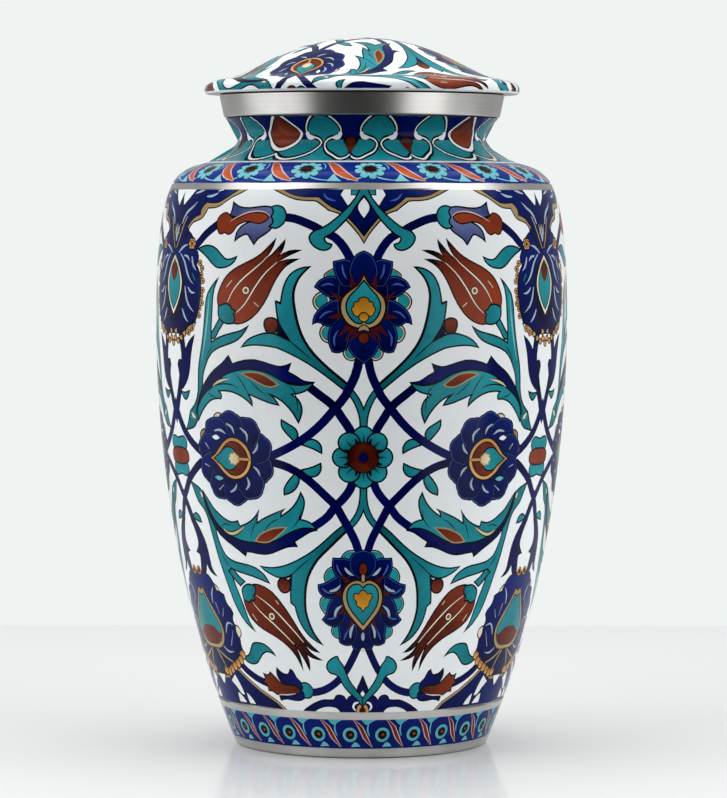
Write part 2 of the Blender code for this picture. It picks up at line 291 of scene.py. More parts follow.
def tulip_stems(sheet):
    """The long turquoise stem that carries the tulip and its side leaf, in the upper and the lower half."""
    sheet.drawn([(51.4, 165, 1), (53.6, 162.1), (56.1, 158.9), (58.6, 160, 1), (56.6, 161.6), (55, 163.9),
                 (53.2, 166.6, 1)], "turquoise", 0.3, 0.6, (1, 0))
    sheet.drawn([(41.1, 163.9, 1), (43.6, 162.3), (47.1, 161.3), (50.7, 160.4), (54.3, 159.1), (57.2, 157.6, 1),
                 (57.3, 162.9), (57, 167.5), (56.7, 173), (55.9, 177.4), (54, 181.1, 1), (56.8, 178.3),
                 (59, 175.4), (60.2, 170.6), (60.6, 166), (61.4, 160), (62.7, 154), (63.8, 149.6), (64.4, 145),
                 (64.7, 140.5), (65.6, 136.9), (67.4, 134.1), (70, 131.9), (71.4, 128.3), (73.6, 124.6, 1),
                 (71, 125.3), (68.4, 126), (66.6, 127.8), (64.4, 131.8), (62.6, 136.4), (62.3, 141.1),
                 (61.8, 145.4), (60.4, 148.9), (58.6, 152.1), (56.4, 154.3), (53.2, 155.9), (48.8, 157.3),
                 (45.4, 158.8)], "turquoise", 0.6, 0.25, (0.6, 1))
    sheet.stroke([(56.2, 156.6), (58.6, 154), (60.2, 150.6)], 0.4, "ink", 0.3, 0.3)
    sheet.stroke([(58.3, 175.4), (59, 168), (60.2, 160), (62.2, 151)], 0.7, "seafoam", 0.2, 0.2)
    sheet.drawn([(38.2, 69.2, 1), (40, 72.1), (43.6, 74.6), (47.1, 75.6), (51.8, 76.2), (55.4, 77.1), (58, 78.8),
                 (59.7, 81.7), (61.2, 86), (61.8, 91), (62.9, 95.2), (65.6, 100), (68.2, 103.2), (71, 104.4),
                 (74, 105.6, 1), (72.4, 102.6), (70, 98.1), (67.1, 95.6), (65.5, 92.8), (64.6, 88.9), (63.6, 84.6),
                 (62.5, 79.2), (61.4, 74.9), (60, 70.3), (57.5, 62), (55.4, 57.2), (52.4, 53.2), (48.3, 50, 1),
                 (50.6, 53.6), (52, 58.6), (53.6, 63.6), (55.6, 69.6), (56, 73.9, 1), (51.4, 72.6), (46, 71.6)],
                "turquoise", 0.25, 0.6, (0.6, 1))
    sheet.drawn([(49.8, 69.2, 1), (52.4, 71), (55.4, 73.8), (57.6, 72.6, 1), (55, 69.8), (52.3, 67.4, 1)],
                "turquoise", 0.3, 0.6, (1, 0))
    sheet.stroke([(56.4, 74.6), (58.4, 76.4), (60, 79.4)], 0.4, "ink", 0.3, 0.3)
    for knot in ((68.3, 130.2), (67.2, 100.6)):
        sheet.stroke([(knot[0] - 1, knot[1] - 0.8), knot, (knot[0] + 0.9, knot[1] + 1.1)], 1.3, "ivory", 0.4, 0.4)
        sheet.stroke([(knot[0] - 0.4, knot[1] - 1.9), (knot[0] + 1.4, knot[1] - 0.4)], 0.7, "moss", 0.4, 0.4)


def forked_leaves(sheet):
    """The forked turquoise leaves beside the middle palmettes, each with a red bud in its fork."""
    sheet.fill([(25.2, 158.4, 1), (28, 166), (31, 162, 1)], "navy", 0.9)
    sheet.drawn([(32.3, 167), (34.6, 166.2), (34.9, 163.9), (33.6, 161.2, 1), (31.4, 161.4), (29.9, 164), (30.3, 166.2)],
                "tomato", 0.75, 0.45, (0, 1))
    sheet.drawn([(6.6, 140.6, 1), (5.2, 142.2, 1), (11.6, 147.9), (15.9, 152.1), (19.4, 156.4), (21.9, 161.1),
                 (23.4, 166.1), (24.3, 170.7), (24.7, 175), (24.3, 177.8), (23, 181), (19.2, 185.3, 1),
                 (22.3, 184.8), (25.5, 182.8), (27.6, 179.2), (28.5, 175.6), (29, 172.1, 1), (30.8, 172.8, 1),
                 (30.4, 169.3), (29.6, 165.3), (27.6, 161.8), (25.3, 158.4, 1), (28.4, 160), (30.9, 161.1),
                 (33.7, 161.4), (37.3, 160.7), (41.6, 158.6), (43.8, 156.2, 1), (40, 157), (35, 156.9),
                 (30.1, 156.1), (26.6, 154.6), (19.4, 150.7), (12.3, 145.4), (9.2, 142.8)],
                "turquoise", 0.85, 0.1, (1, 0.25), line=0.6, heavy=(-0.4, 0.15))
    sheet.stroke([(17.6, 151.6), (21.4, 155), (25.3, 158.4)], 0.45, "ink", 0.2, 0.8)
    sheet.fill([(31.6, 69.4, 1), (27.6, 66, 1), (27, 73.6, 1)], "navy", 0.9)
    sheet.drawn([(31.6, 71.2), (33.9, 70.6), (34.5, 68.3), (33, 66), (30.6, 66.1), (29.2, 68.2), (29.7, 70.4)],
                "tomato", 0.5, 0.85, (0, 1))
    sheet.drawn([(7.1, 92.5, 1), (11.6, 88.9), (15.1, 85.6), (19.4, 82.1), (23.7, 79.4), (28.4, 77.1), (33, 75.6),
                 (37.3, 75.1), (41.3, 75.5, 1), (39.8, 74.2), (37.3, 72.8), (33.8, 71.6), (30.6, 71.8),
                 (28.3, 72.9, 1), (29, 68.5), (29.5, 64.9), (29.7, 62.1, 1), (28, 60.8, 1), (27.2, 56.7),
                 (25.9, 53.5), (22.9, 49.5), (17.9, 46.3, 1), (21.2, 50.6), (22.8, 54.4), (23.9, 59), (23.8, 64),
                 (22.6, 70.6), (20.9, 74.6), (18, 78.9), (14.1, 82.8), (10.5, 86.4), (7.4, 89.4), (6, 91, 1)],
                "turquoise", 0.85, 0.1, (1, 0.1), line=0.6, heavy=(-0.4, -0.15))
    sheet.stroke([(20.2, 79.6), (24.2, 76.4), (28.3, 72.9)], 0.45, "ink", 0.2, 0.8)


def saz_leaves(sheet):
    """Long feathered leaves with a navy back, a red lens and ragged turquoise undersides."""
    sheet.drawn([(17.5, 143.9, 1), (20.9, 144.3), (23.7, 146.1), (26.5, 147.6, 1), (25.5, 150.5, 1), (29, 149.4),
                 (33.7, 150.4), (38.6, 151.6), (43, 151.3), (47.8, 149.9, 1), (49.5, 152.8, 1), (52.4, 150),
                 (56.1, 147.5), (58.9, 145), (62.4, 140.6), (65, 135.6), (66.6, 131, 1), (60, 137), (50, 143),
                 (40, 146), (28, 144), (19, 142.6, 1)], "navy", 0.35, 0.75, (1, 0))
    sheet.drawn([(17.5, 143.75, 1), (19.4, 141.4), (22.3, 140), (25.2, 139.4, 1), (22.8, 137.4), (21.7, 134.4),
                 (23, 129.3, 1), (24.4, 131.9), (26.2, 134.4), (28.7, 136.9), (33.9, 139.7, 1), (31.6, 137.9),
                 (30, 135.5, 1), (33.7, 136.3), (37.3, 137.6), (41.2, 139.1, 1), (40.4, 137.3), (40, 135, 1),
                 (42.1, 136.9), (45.4, 138.8), (48.9, 139.9), (54.2, 139.9, 1), (53.1, 138.6), (53.3, 137.1, 1),
                 (56.1, 137), (58.6, 136.1), (60.7, 134.5), (62.9, 132.2), (65.4, 128.6, 1), (65.6, 132.4),
                 (62.6, 137.4), (60, 139.6), (57.1, 141.4), (54.3, 143.9), (50.7, 146.1), (47.1, 147.3),
                 (41, 148.2), (34.8, 147.3), (31.9, 146.1), (28.7, 144.3), (25.9, 143.2), (22, 142.8)],
                "turquoise", 0.6, 0.25, (0.3, 1))
    sheet.drawn([(30, 142.9, 1), (32.3, 144.6), (35.5, 146.4), (38.4, 147.1), (41.9, 147), (44.1, 146.6, 1),
                 (41.2, 145.2), (38.4, 143.9), (35.5, 142.5), (32.3, 142)], "tomato", 0.75, 0.4, (0, 1), 0.5, "gilt")
    sheet.stroke([(45.4, 141), (47.1, 142), (50.7, 142.6), (54.3, 142.2), (58.4, 141)], 0.5, "ink", 0.3, 0.5)
    sheet.stroke([(49.4, 144.4), (52.6, 143.8), (55, 142.9), (57, 141.6)], 1.3, "ivory", 0.2, 0.2, low=0.8, line=0.4)
    for vein in ([(27, 143), (24.6, 141.2), (23.6, 138.4), (23.3, 133)], [(41, 144.6), (38, 141.4), (34, 138.6)],
                 [(46.8, 146.6), (43, 142), (41, 137.6)], [(59.6, 139.2), (57.6, 138), (55.4, 137.8)]):
        sheet.stroke(vein, 0.4, "ink", 0.4, 0.2)
    sheet.drawn([(17.8, 89.8, 1), (20.1, 89.2), (23, 87.4), (26.3, 85.4, 1), (25.4, 83.6, 1), (28.6, 83.4),
                 (31.9, 82.3), (35.5, 80.8), (39.1, 80.1), (43.6, 80.5), (46.8, 80.8, 1), (47.7, 79.1, 1),
                 (50.4, 80.9), (56.1, 84.2), (59.3, 86.4), (62.6, 90.4), (65.4, 96), (67, 101.2, 1), (58, 92),
                 (48, 87), (36, 88), (20, 91.4, 1)], "navy", 0.45, 0.85, (1, 0))
    sheet.drawn([(17.8, 90.2, 1), (20, 92.6), (23.7, 93.7, 1), (22.3, 97.4), (21.8, 100.6), (23, 103.6, 1),
                 (24.4, 100.6), (26.4, 98), (31, 94.6, 1), (30.6, 96.2), (29.3, 97.5, 1), (33.7, 95.5), (37.3, 93.9),
                 (41, 91.7, 1), (40.6, 94.2), (39.7, 96.6, 1), (41.4, 94.2), (43.6, 92.4), (48.9, 90.1, 1),
                 (49.6, 92.1, 1), (52.5, 91.5), (55.4, 92.3), (58.6, 94.2), (61.1, 96), (63.4, 98.7), (66.6, 102.6, 1),
                 (64.6, 97), (61.4, 91.6), (57.5, 88.2), (55.4, 86.8), (51.8, 85.6), (47.9, 84.6), (42, 84.3),
                 (37.3, 84.6), (33.7, 85.5), (30.1, 87.4), (26.6, 89.2), (22.4, 90.5)],
                "turquoise", 0.3, 0.65, (0.3, 1))
    sheet.drawn([(29, 90.5, 1), (33.7, 90.1), (37.3, 88.9), (40.1, 87.4), (42.3, 84.9, 1), (39.4, 84.6), (36.6, 84.9),
                 (33, 87.1)], "tomato", 0.45, 0.75, (0, 1), 0.5, "gilt")
    sheet.stroke([(47.1, 89.9), (50, 88.1), (52.9, 87.1), (55, 87.4), (57.1, 88.6)], 1.5, "ivory", 0.3, 0.3, low=0.9, line=0.45)
    for vein in ([(26.6, 90.6), (24.2, 93.6), (23.2, 98)], [(38, 88.8), (35.6, 91.6), (31.4, 94)],
                 [(44.4, 86), (42.6, 90.2), (41, 93.6)], [(58.4, 89.6), (56, 90.6), (53, 90.2)]):
        sheet.stroke(vein, 0.4, "ink", 0.4, 0.2)


def curved_leaves(sheet):
    """Turquoise leaves bent like an S beside the side palmettes."""
    sheet.drawn([(46.3, 188.9, 1), (48.2, 188.1), (51.1, 188), (53.2, 189.6), (55.4, 191.5), (57.9, 192.6),
                 (61.6, 192.7), (65.2, 191.4, 1), (62.1, 189.9), (60, 188.5), (57.5, 186.4), (55, 184.9), (52.1, 184.8),
                 (49.3, 185.6), (47.2, 187.2)], "turquoise", 0.2, 0.6, (1, 0))
    sheet.drawn([(39.8, 40.9, 1), (42.1, 43.5), (44.6, 45.1), (47.9, 45.6), (50.7, 45.2), (52.5, 43.1), (54.3, 40.6),
                 (56.8, 39.6), (59, 39.5, 1), (56.1, 37.4), (53.6, 36.9), (50.7, 37.4), (48.6, 39.2), (46.8, 41),
                 (44.3, 42.3), (41.8, 42)], "turquoise", 0.3, 0.7, (1, 0))


def bent_buds(sheet):
    """Half-open buds under the top border and above the bottom one."""
    sheet.drawn([(32.6, 206.4), (36, 207.3), (40, 206.9), (44.3, 206.7), (47, 207.2), (49.8, 208.8, 1), (49.9, 206),
                 (50.6, 203.8, 1), (46, 203), (40, 203.6), (34, 203)], "violet", 0.35, 0.85, (1, 0))
    sheet.drawn([(32.6, 200.2), (33.6, 198.6), (35.6, 197), (37.8, 195.6), (39.5, 193.4, 1), (41, 195.4), (42.3, 197),
                 (44.8, 196.4), (47.4, 194.6, 1), (46.9, 197.4), (45.4, 199.6), (42, 201.4), (36, 202.4)],
                "violet", 0.85, 0.3, (0, 1))
    sheet.fill([(32.4, 199.4, 1), (32.4, 206.6, 1), (37, 206.4, 1), (37.4, 200.4, 1)], "violet", 0.4)
    sheet.drawn([(34.4, 203.4), (36, 204.6), (39, 205), (42, 204.8), (45.4, 203.6), (48, 202.6), (50.2, 203.7),
                 (52.1, 204.9), (54.3, 204.4), (56, 202.8), (56.4, 200.6), (55.6, 198.6), (54.7, 197.2),
                 (53.2, 197.1, 1), (52.2, 197.6), (50.6, 196.9), (48.6, 197.8), (47.1, 199.9), (45, 201.2),
                 (42.1, 201.7), (38, 200.9), (35.6, 201.8)], "tomato", 0.2, 0.45, (1, 0), 0.5)
    sheet.stroke([(34, 203.7), (35.6, 204.9), (38.6, 205.5), (42, 205.2), (45.4, 204.1), (50.2, 201.7)], 0.5, "blush",
                 0.5, 0.3)
    sheet.drawn([(28, 204.8), (29.4, 206.9), (31.9, 207.6), (33.8, 207, 1), (32.8, 205.5), (33.5, 203.5, 1),
                 (32.6, 201.7), (33.9, 199.9, 1), (31.6, 199.2), (29.4, 200.3), (28, 202.3)], "turquoise",
                0.4, 0.15, (1, 0))
    sheet.drawn([(29, 30.4), (31.2, 32.8), (32.4, 35.2), (33.6, 35.9, 1), (35, 33.9), (37.3, 34), (40.2, 36, 1),
                 (40.7, 33.9), (39.6, 31.2), (36.6, 29.6), (31, 28.8)], "navy", 0.3, 0.7, (1, 0))
    sheet.drawn([(27.6, 25.5), (30.1, 23.7), (33.7, 23.5), (37.3, 23.9), (41, 23.2, 1), (41.4, 25.4), (38, 27), (31, 27.4)],
                "navy", 0.3, 0.7, (1, 0))
    sheet.fill([(27.8, 30, 1), (31.6, 31, 1), (32, 24.6, 1), (27.8, 25.4, 1)], "navy", 0.4)
    sheet.drawn([(30, 27.4), (31.6, 29.2), (33.9, 29.6), (37.3, 29.6), (40, 30.6), (42.2, 32.5), (44.2, 34.2, 1),
                 (45.6, 33), (48, 33.4, 1), (47.8, 31.4), (49.6, 30, 1), (47.4, 29), (47, 26.6, 1), (45, 26.6), (42.9, 25.5), (40, 25.3), (35, 26), (31, 26.3)],
                "tomato", 0.8, 0.4, (1, 0))
    sheet.stroke([(42.6, 24.9), (40.6, 25.4), (37, 25.5), (32.6, 26.2)], 0.5, "ivory", 0.3, 0.3)
    sheet.drawn([(23.6, 28), (25, 30), (27.3, 30.9), (29.4, 30.4, 1), (28.6, 28.8), (29.6, 27.6, 1), (28.4, 26.6),
                 (28.6, 25, 1), (26.4, 24.6), (24.3, 25.8)], "turquoise", 0.5, 0.2, (1, 0))


def streaks(sheet, lines, width=0.75, glaze="mist"):
    """Light brush streaks that fan out over a dark palmette."""
    for line in lines:
        sheet.stroke(line, width, glaze, 0.15, 0.5)


def petals(sheet, outlines, glaze, heart=None):
    """Pale petals that show at a palmette's rim, some with a second colour inside."""
    for outline in outlines:
        line = smooth(outline)
        sheet.drawn(line, glaze, 0.3, 0.7, (1, 0), 0.5)
        if heart:
            middle = line.mean(axis=0)
            sheet.fill(middle + (line - middle) * 0.76, "ink")
            sheet.fill(middle + (line - middle) * 0.68, heart, 0.2)


def lobes(sheet, outlines):
    """A palmette's cobalt lobes, each over the last, parted by a dark line with a lighter one inside it."""
    for outline in outlines:
        line = smooth(outline)
        sheet.fill(grown(line, 0.3), "ink")
        sheet.fill(grown(line, -0.16), "haze", 0.6, 1.0, (1, 0))
        sheet.fill(grown(line, -0.36) - (0.08, 0.08), "cobalt", 0.95, 0.6, (0.6, 1))


def flames(sheet, tips):
    """Dark red flames that leap from a gilt drop between the lobes."""
    for foot, tip in tips:
        sheet.stroke([foot, tip], 2.3, "umber", 1.1, 0.05, low=0.0)


def rosette(sheet):
    """The eight-petalled flower at the middle."""
    centre = np.array([FIRST_AXIS, 116.8])
    for petal in range(8):
        angle = math.pi / 2 + petal * math.pi / 4
        out = np.array([math.cos(angle), math.sin(angle)])
        sheet.drawn(disc(centre + out * (6.9, 7.6), 3.7), "turquoise", 0.8, 0.15, tuple(out))
        sheet.stroke([tuple(centre + out * 5.5), tuple(centre + out * 8.6)], 0.8, "turquoise", 1.2, 0.1, low=1.0)
    for petal in range(8):
        angle = math.pi / 8 + petal * math.pi / 4
        out = np.array([math.cos(angle), math.sin(angle)])
        sheet.stroke([tuple(centre + out * 5), tuple(centre + out * 7.4)], 1.5, "ink", 1.2, 0.2)
    sheet.fill(disc(centre, 5.7), "ink")
    sheet.fill(disc(centre, 5.4), "tomato", 0.65, 0.95, (1, 0))
    sheet.fill(disc(centre, 2.3), "umber")
    sheet.fill(disc(centre, 1.75), "navy", 0.7)


def middle_palmette(sheet):
    """The big upper palmette on the front axis: cobalt lobes, pale rim petals and a gilt drop."""
    petals(sheet, [[(10, 185.2, 1), (12.2, 184.1), (14, 182.5), (13.4, 180.2, 1), (10.4, 181)]], "ivory", "turquoise")
    petals(sheet, [[(13, 176.8, 1), (16, 176), (17.7, 173.6), (17, 170.8), (14.4, 169.2, 1), (12, 172.6)],
                   [(12, 165.2, 1), (14.6, 164), (15.4, 161.6), (14.2, 159), (11, 157.9, 1), (10, 161.8)],
                   [(5.6, 157, 1), (7.6, 155), (6.8, 152.7), (4.6, 151.9), (2.6, 153.4, 1), (3.6, 157)]],
           "ivory", "turquoise")
    sheet.fill([(PAST_FIRST, 189, 1), (4, 188, 1), (8.4, 185), (10, 182, 1), (13, 180), (12.4, 176, 1), (11.6, 172), (13.4, 168, 1),
                (11.2, 163), (9.4, 157, 1), (5, 156, 1), (PAST_FIRST, 152, 1)], "cobalt", 0.9)
    lobes(sheet, [
        [(PAST_FIRST, 164, 1), (4.6, 163.4, 1), (6.6, 160.4), (6, 156.8), (3.8, 153.2), (0.8, 150.9, 1),
         (PAST_FIRST, 150.9, 1)],
        [(5, 164, 1), (8.2, 168, 1), (11.2, 165), (12.4, 161.8), (12.4, 158.4), (11.2, 155, 1), (9.2, 154.7),
         (6.6, 155.9, 1), (5.6, 160)],
        [(8.6, 167.4, 1), (9.4, 174, 1), (12.6, 172.6), (15.4, 170.4), (17.2, 167.8), (17.7, 165, 1), (15.8, 165.6),
         (14, 164.4, 1), (11.2, 164.6)],
        [(9, 174.4, 1), (8.6, 180.6, 1), (11, 182.1), (13.6, 181.6), (15.6, 180.5), (17.1, 178.2, 1), (15.9, 177.4),
         (14.5, 176, 1), (12, 174.6)],
        [(4.8, 178.6, 1), (4.6, 187.2, 1), (6.8, 188.2), (9.2, 187.7), (10.9, 187.3, 1), (10.7, 184.6),
         (9.6, 181.4), (7.6, 178.4)],
        [(PAST_FIRST, 178, 1), (PAST_FIRST, 191.1, 1), (0.8, 191.1), (3.2, 189.9), (5, 187), (5.7, 183),
         (4.6, 179.4, 1)]])
    drop = [(PAST_FIRST, 182.9, 1), (0.8, 182.9, 1), (3, 178.8), (5.2, 177), (7.7, 174.4), (8.5, 171.2), (7.6, 167.4),
            (5.5, 164.7), (3, 163.6), (PAST_FIRST, 164.4, 1)]
    flames(sheet, [((4, 177), (5.2, 183)), ((7.6, 173), (12, 176.6)), ((8, 168), (12.8, 167.2)),
                   ((5, 165), (9.4, 160.4)), ((1.6, 163.6), (5.8, 158.4)), ((3.4, 165), (7.2, 158.6))])
    sheet.fill(grown(smooth(drop), 0.6), "umber", 0.7)
    streaks(sheet, [[(6.4, 181), (7.6, 183.4), (8, 186.2)], [(10.6, 178.8), (12.6, 179.4), (14.8, 178.6)],
                    [(11, 169.6), (13.4, 169), (15.4, 167)], [(9.2, 162.8), (10.6, 160), (10.4, 157.2)]], 0.7, "haze")
    sheet.drawn(drop, "gilt", 0.2, 0.5, line=0.45)
    sheet.drawn([(PAST_FIRST, 180.7, 1), (0.8, 180.7, 1), (3, 177.8), (5.2, 175.4), (6.6, 172.4), (6.4, 169.4), (5, 166.8),
                 (3.2, 165.3), (1.6, 165.2), (0.8, 166.2, 1), (PAST_FIRST, 166.2, 1)], "turquoise", 0.55, 0.15, (0, 1), 0.55)
    sheet.drawn([(PAST_FIRST, 174.7, 1), (0.8, 174.7), (2.3, 174.1), (2.7, 173, 1), (3.9, 172.8), (4.1, 171.5, 1),
                 (4.9, 170.4), (4.4, 169.1, 1), (3.8, 168), (2.4, 167.8), (1.4, 168.4, 1), (PAST_FIRST, 168.2, 1)],
                "gold", 0.75, 0.15, (0, -1), 0.4)
    sheet.drawn(disc((FIRST_AXIS, 167.5), 1.7), "gold", 0.0, line=0.4)
    sheet.drawn([(PAST_FIRST, 164, 1), (0.8, 164.8), (2.2, 164, 1), (3, 162.2, 1), (0.8, 162.8, 1), (PAST_FIRST, 162.8, 1)],
                "gilt", 0.2, line=0.4)
    sheet.drawn(disc((FIRST_AXIS, 159.9), 1.9), "tomato", 0.75, line=0.3)


def lower_palmette(sheet):
    """The palmette under the flower on the front axis, with a heart-shaped gilt drop."""
    petals(sheet, [[(3.6, 82.4, 1), (6.4, 82.3), (8.6, 80.4), (9, 77.6, 1), (5.6, 77)],
                   [(11.4, 76.6, 1), (14.2, 75.2), (15.6, 72.2), (14.6, 69.2, 1), (11.4, 70.6)],
                   [(14.2, 65.4, 1), (16.8, 64.6), (17.8, 61.8), (16, 58.4, 1), (12.6, 60.2)],
                   [(10.8, 54.4, 1), (13.2, 53.2), (13.5, 50.8), (11.4, 48.9), (8.6, 48.8, 1), (8.4, 52)]],
           "seafoam", "turquoise")
    sheet.fill([(PAST_FIRST, 80, 1), (4, 79, 1), (9, 78, 1), (11, 73), (13.4, 69.6, 1), (12.8, 65, 1), (13, 60), (13.4, 56.6, 1),
                (8.6, 52), (8, 48.4, 1), (PAST_FIRST, 47, 1)], "cobalt", 0.9)
    lobes(sheet, [
        [(PAST_FIRST, 56, 1), (3.4, 54.4, 1), (5.2, 50), (5.5, 46.8), (4.4, 44.4, 1), (PAST_FIRST, 44.2, 1)],
        [(3.4, 53.6, 1), (7.4, 59.6, 1), (9.5, 56.4), (10.6, 53), (10.2, 50, 1), (10.6, 48.4), (10.2, 47.1, 1),
         (8, 46.2), (5.2, 46.5, 1), (3.4, 49.6)],
        [(7.6, 60, 1), (9.2, 66.4, 1), (12.6, 64.4), (14.6, 61.2), (15.4, 58.2), (17.1, 56, 1), (14.8, 54),
         (12, 53.3, 1), (8.6, 55.6)],
        [(9.4, 66.6, 1), (9.2, 73.4, 1), (12.2, 71.8), (14.8, 70.2), (18, 69.3, 1), (17.8, 66.8), (15.6, 64.6, 1),
         (12, 64.4)],
        [(7.6, 71.4, 1), (5, 73, 1), (5.2, 78.6, 1), (8, 79.6), (10, 79.4), (11.9, 79.5, 1), (12.3, 76.6),
         (11, 73)],
        [(PAST_FIRST, 72, 1), (PAST_FIRST, 82.2, 1), (2.3, 82.3), (4.4, 81.4), (5.9, 78.4), (5.3, 74.6), (3, 72.2, 1)]])
    drop = [(PAST_FIRST, 70.6, 1), (0.9, 70.4), (2.6, 71.2), (5.1, 70.7), (7.8, 68.2), (8.8, 64.8), (7.6, 60),
            (5, 56.4), (0.9, 51.9, 1), (PAST_FIRST, 51.9, 1)]
    flames(sheet, [((6, 70), (9.6, 73.6)), ((8, 66), (12.4, 66.4)), ((7, 60.6), (11, 58)), ((4, 56.6), (7, 52.4))])
    sheet.fill(grown(smooth(drop), 0.7), "umber", 0.6)
    streaks(sheet, [[(4.4, 73), (5.9, 73.8), (7.6, 75.8)], [(9.4, 69.4), (11.2, 67.6), (13.6, 67)],
                    [(4.4, 54.4), (5.8, 51.4), (5.9, 49.2)], [(9, 61.6), (11.4, 59.4), (12, 56.8)]], 1.1, "mist")
    streaks(sheet, [[(8.6, 73), (10, 74.8), (10.6, 77)], [(12.6, 66.2), (14.8, 66.6), (16.4, 68)],
                    [(11, 57.6), (13.4, 56.4), (15, 56.4)], [(6.6, 52.6), (7.8, 50.4), (8.6, 48.4)]], 0.7, "haze")
    sheet.drawn(disc((FIRST_AXIS, 75.4), 1.7, 1.5), "tomato", 0.7, line=0.45)
    sheet.stroke([(0.9, 73), (0.9, 70)], 1.3, "gilt", line=0.35)
    sheet.drawn(drop, "gilt", 0.25, 0.5, line=0.45)
    sheet.drawn([(PAST_FIRST, 68.4, 1), (0.9, 68.4, 1), (2.4, 69.7), (4.6, 69.5), (6.5, 67.7), (7.1, 64.8), (6.2, 61),
                 (4.2, 58), (0.9, 54.2, 1), (PAST_FIRST, 54.2, 1)], "turquoise", 0.6, 0.2, (0, 1), 0.55)
    sheet.drawn([(PAST_FIRST, 67.6, 1), (0.9, 67.6), (2, 66.9), (2.6, 66, 1), (4, 66.2), (4.5, 64.6), (3.4, 63.2, 1),
                 (3, 61.4), (1.8, 60.8, 1), (0.9, 59.4, 1), (PAST_FIRST, 59.4, 1)], "gold", 0.6, 0.1, (0, -1), 0.4)
    sheet.drawn(disc((FIRST_AXIS, 49.6), 0.9, 2.0), "mist", line=0.3)
    sheet.fill(disc((FIRST_AXIS, 44.3), 0.9), "ivory")


SIDE_FLOWER = np.array([49.5, 115.3])
SIDE_FLOWER_LOBES = 10


def side_flower(sheet):
    """The round cobalt palmette half-way round: overlapping lobes, gilt drop lying on its side."""
    for turn in (12, 31, 50, 69, 88):
        out = np.array([math.cos(math.radians(turn)), math.sin(math.radians(turn))])
        sheet.drawn(disc(SIDE_FLOWER + out * 15, 2.6), "gilt" if turn < 40 else "ivory", 0.2, 0.7, line=0.5)
    for lobe in range(SIDE_FLOWER_LOBES):
        turn = math.radians(196 - lobe * 360 / SIDE_FLOWER_LOBES)
        out = np.array([math.cos(turn), math.sin(turn) * 1.03])
        line = scalloped(SIDE_FLOWER + out * 11.2, 5.9, 6, 0.5, turn)
        sheet.fill(grown(line, 0.3), "ink")
        sheet.fill(grown(line, -0.18), "haze", 0.5, 1.0, (1, 0))
        sheet.fill(grown(line, -0.36) - out * 0.1, "cobalt", 0.9, 0.5, (0.3, 1))
    sheet.fill(disc(SIDE_FLOWER, 10.2), "cobalt", 0.85, 0.65)
    streaks(sheet, [[(42.9, 121.7), (42.8, 124.2), (45.4, 126.6)], [(48.2, 124.4), (49, 126.6), (51.5, 128)],
                    [(52, 124.2), (54.6, 125.6), (57.2, 125.2)], [(60.6, 118.3), (62.4, 120.4)],
                    [(43.8, 108.6), (43, 106.2), (44.4, 104)], [(48.4, 106), (49.4, 104), (51.6, 102.8)],
                    [(61, 111.7), (63.4, 112.6)], [(38.5, 121.5), (39, 119.4), (40.6, 117.6)],
                    [(38.2, 109.2), (39, 111.2), (40.6, 112.6)], [(54.4, 105.4), (57, 103.4)]], 0.9)
    sheet.drawn([(54.6, 122.6, 1), (56.6, 123.9), (59, 122.9, 1), (56.8, 121.7)], "white", 0.2, line=0.35)
    sheet.drawn([(54.2, 107.6, 1), (56.6, 108.8), (59.2, 108, 1), (56.6, 106.7)], "seafoam", 0.4, line=0.35)
    drop = [(60.6, 115.1, 1), (57.6, 116.8), (54, 120.8), (50.6, 122.9), (47.4, 122.9), (43.9, 120.9), (41.7, 117.4),
            (41.6, 113.4), (43.6, 109.9), (47, 107.8), (50.6, 107.7), (54.2, 109.8), (57.5, 113.2)]
    sheet.drawn(drop, "amber", 0.0, 0.5, (1, 1), line=0.55)
    inner = grown(smooth(drop), -1.3)
    sheet.fill(inner, "ink")
    sheet.fill(grown(inner, -0.4), "tomato", 0.8, 0.25, (1, 0))
    sheet.stroke([(42.4, 115.2), (47.6, 115.2)], 1.3, "amber", line=0.3)
    sheet.drawn([(58.4, 115, 1), (55.4, 117), (52.2, 119.4), (49.6, 119.2), (47.6, 116.9), (47.6, 113.7), (49.6, 111.3),
                 (52.2, 111), (55.4, 113)], "turquoise", 0.15, 0.55, (1, 0), 0.5)
    sheet.drawn(scalloped((48.9, 115.2), 2.3, 7, 0.5), "ivory", 0.9, 0.3, (1, 0), 0.3, "gold")


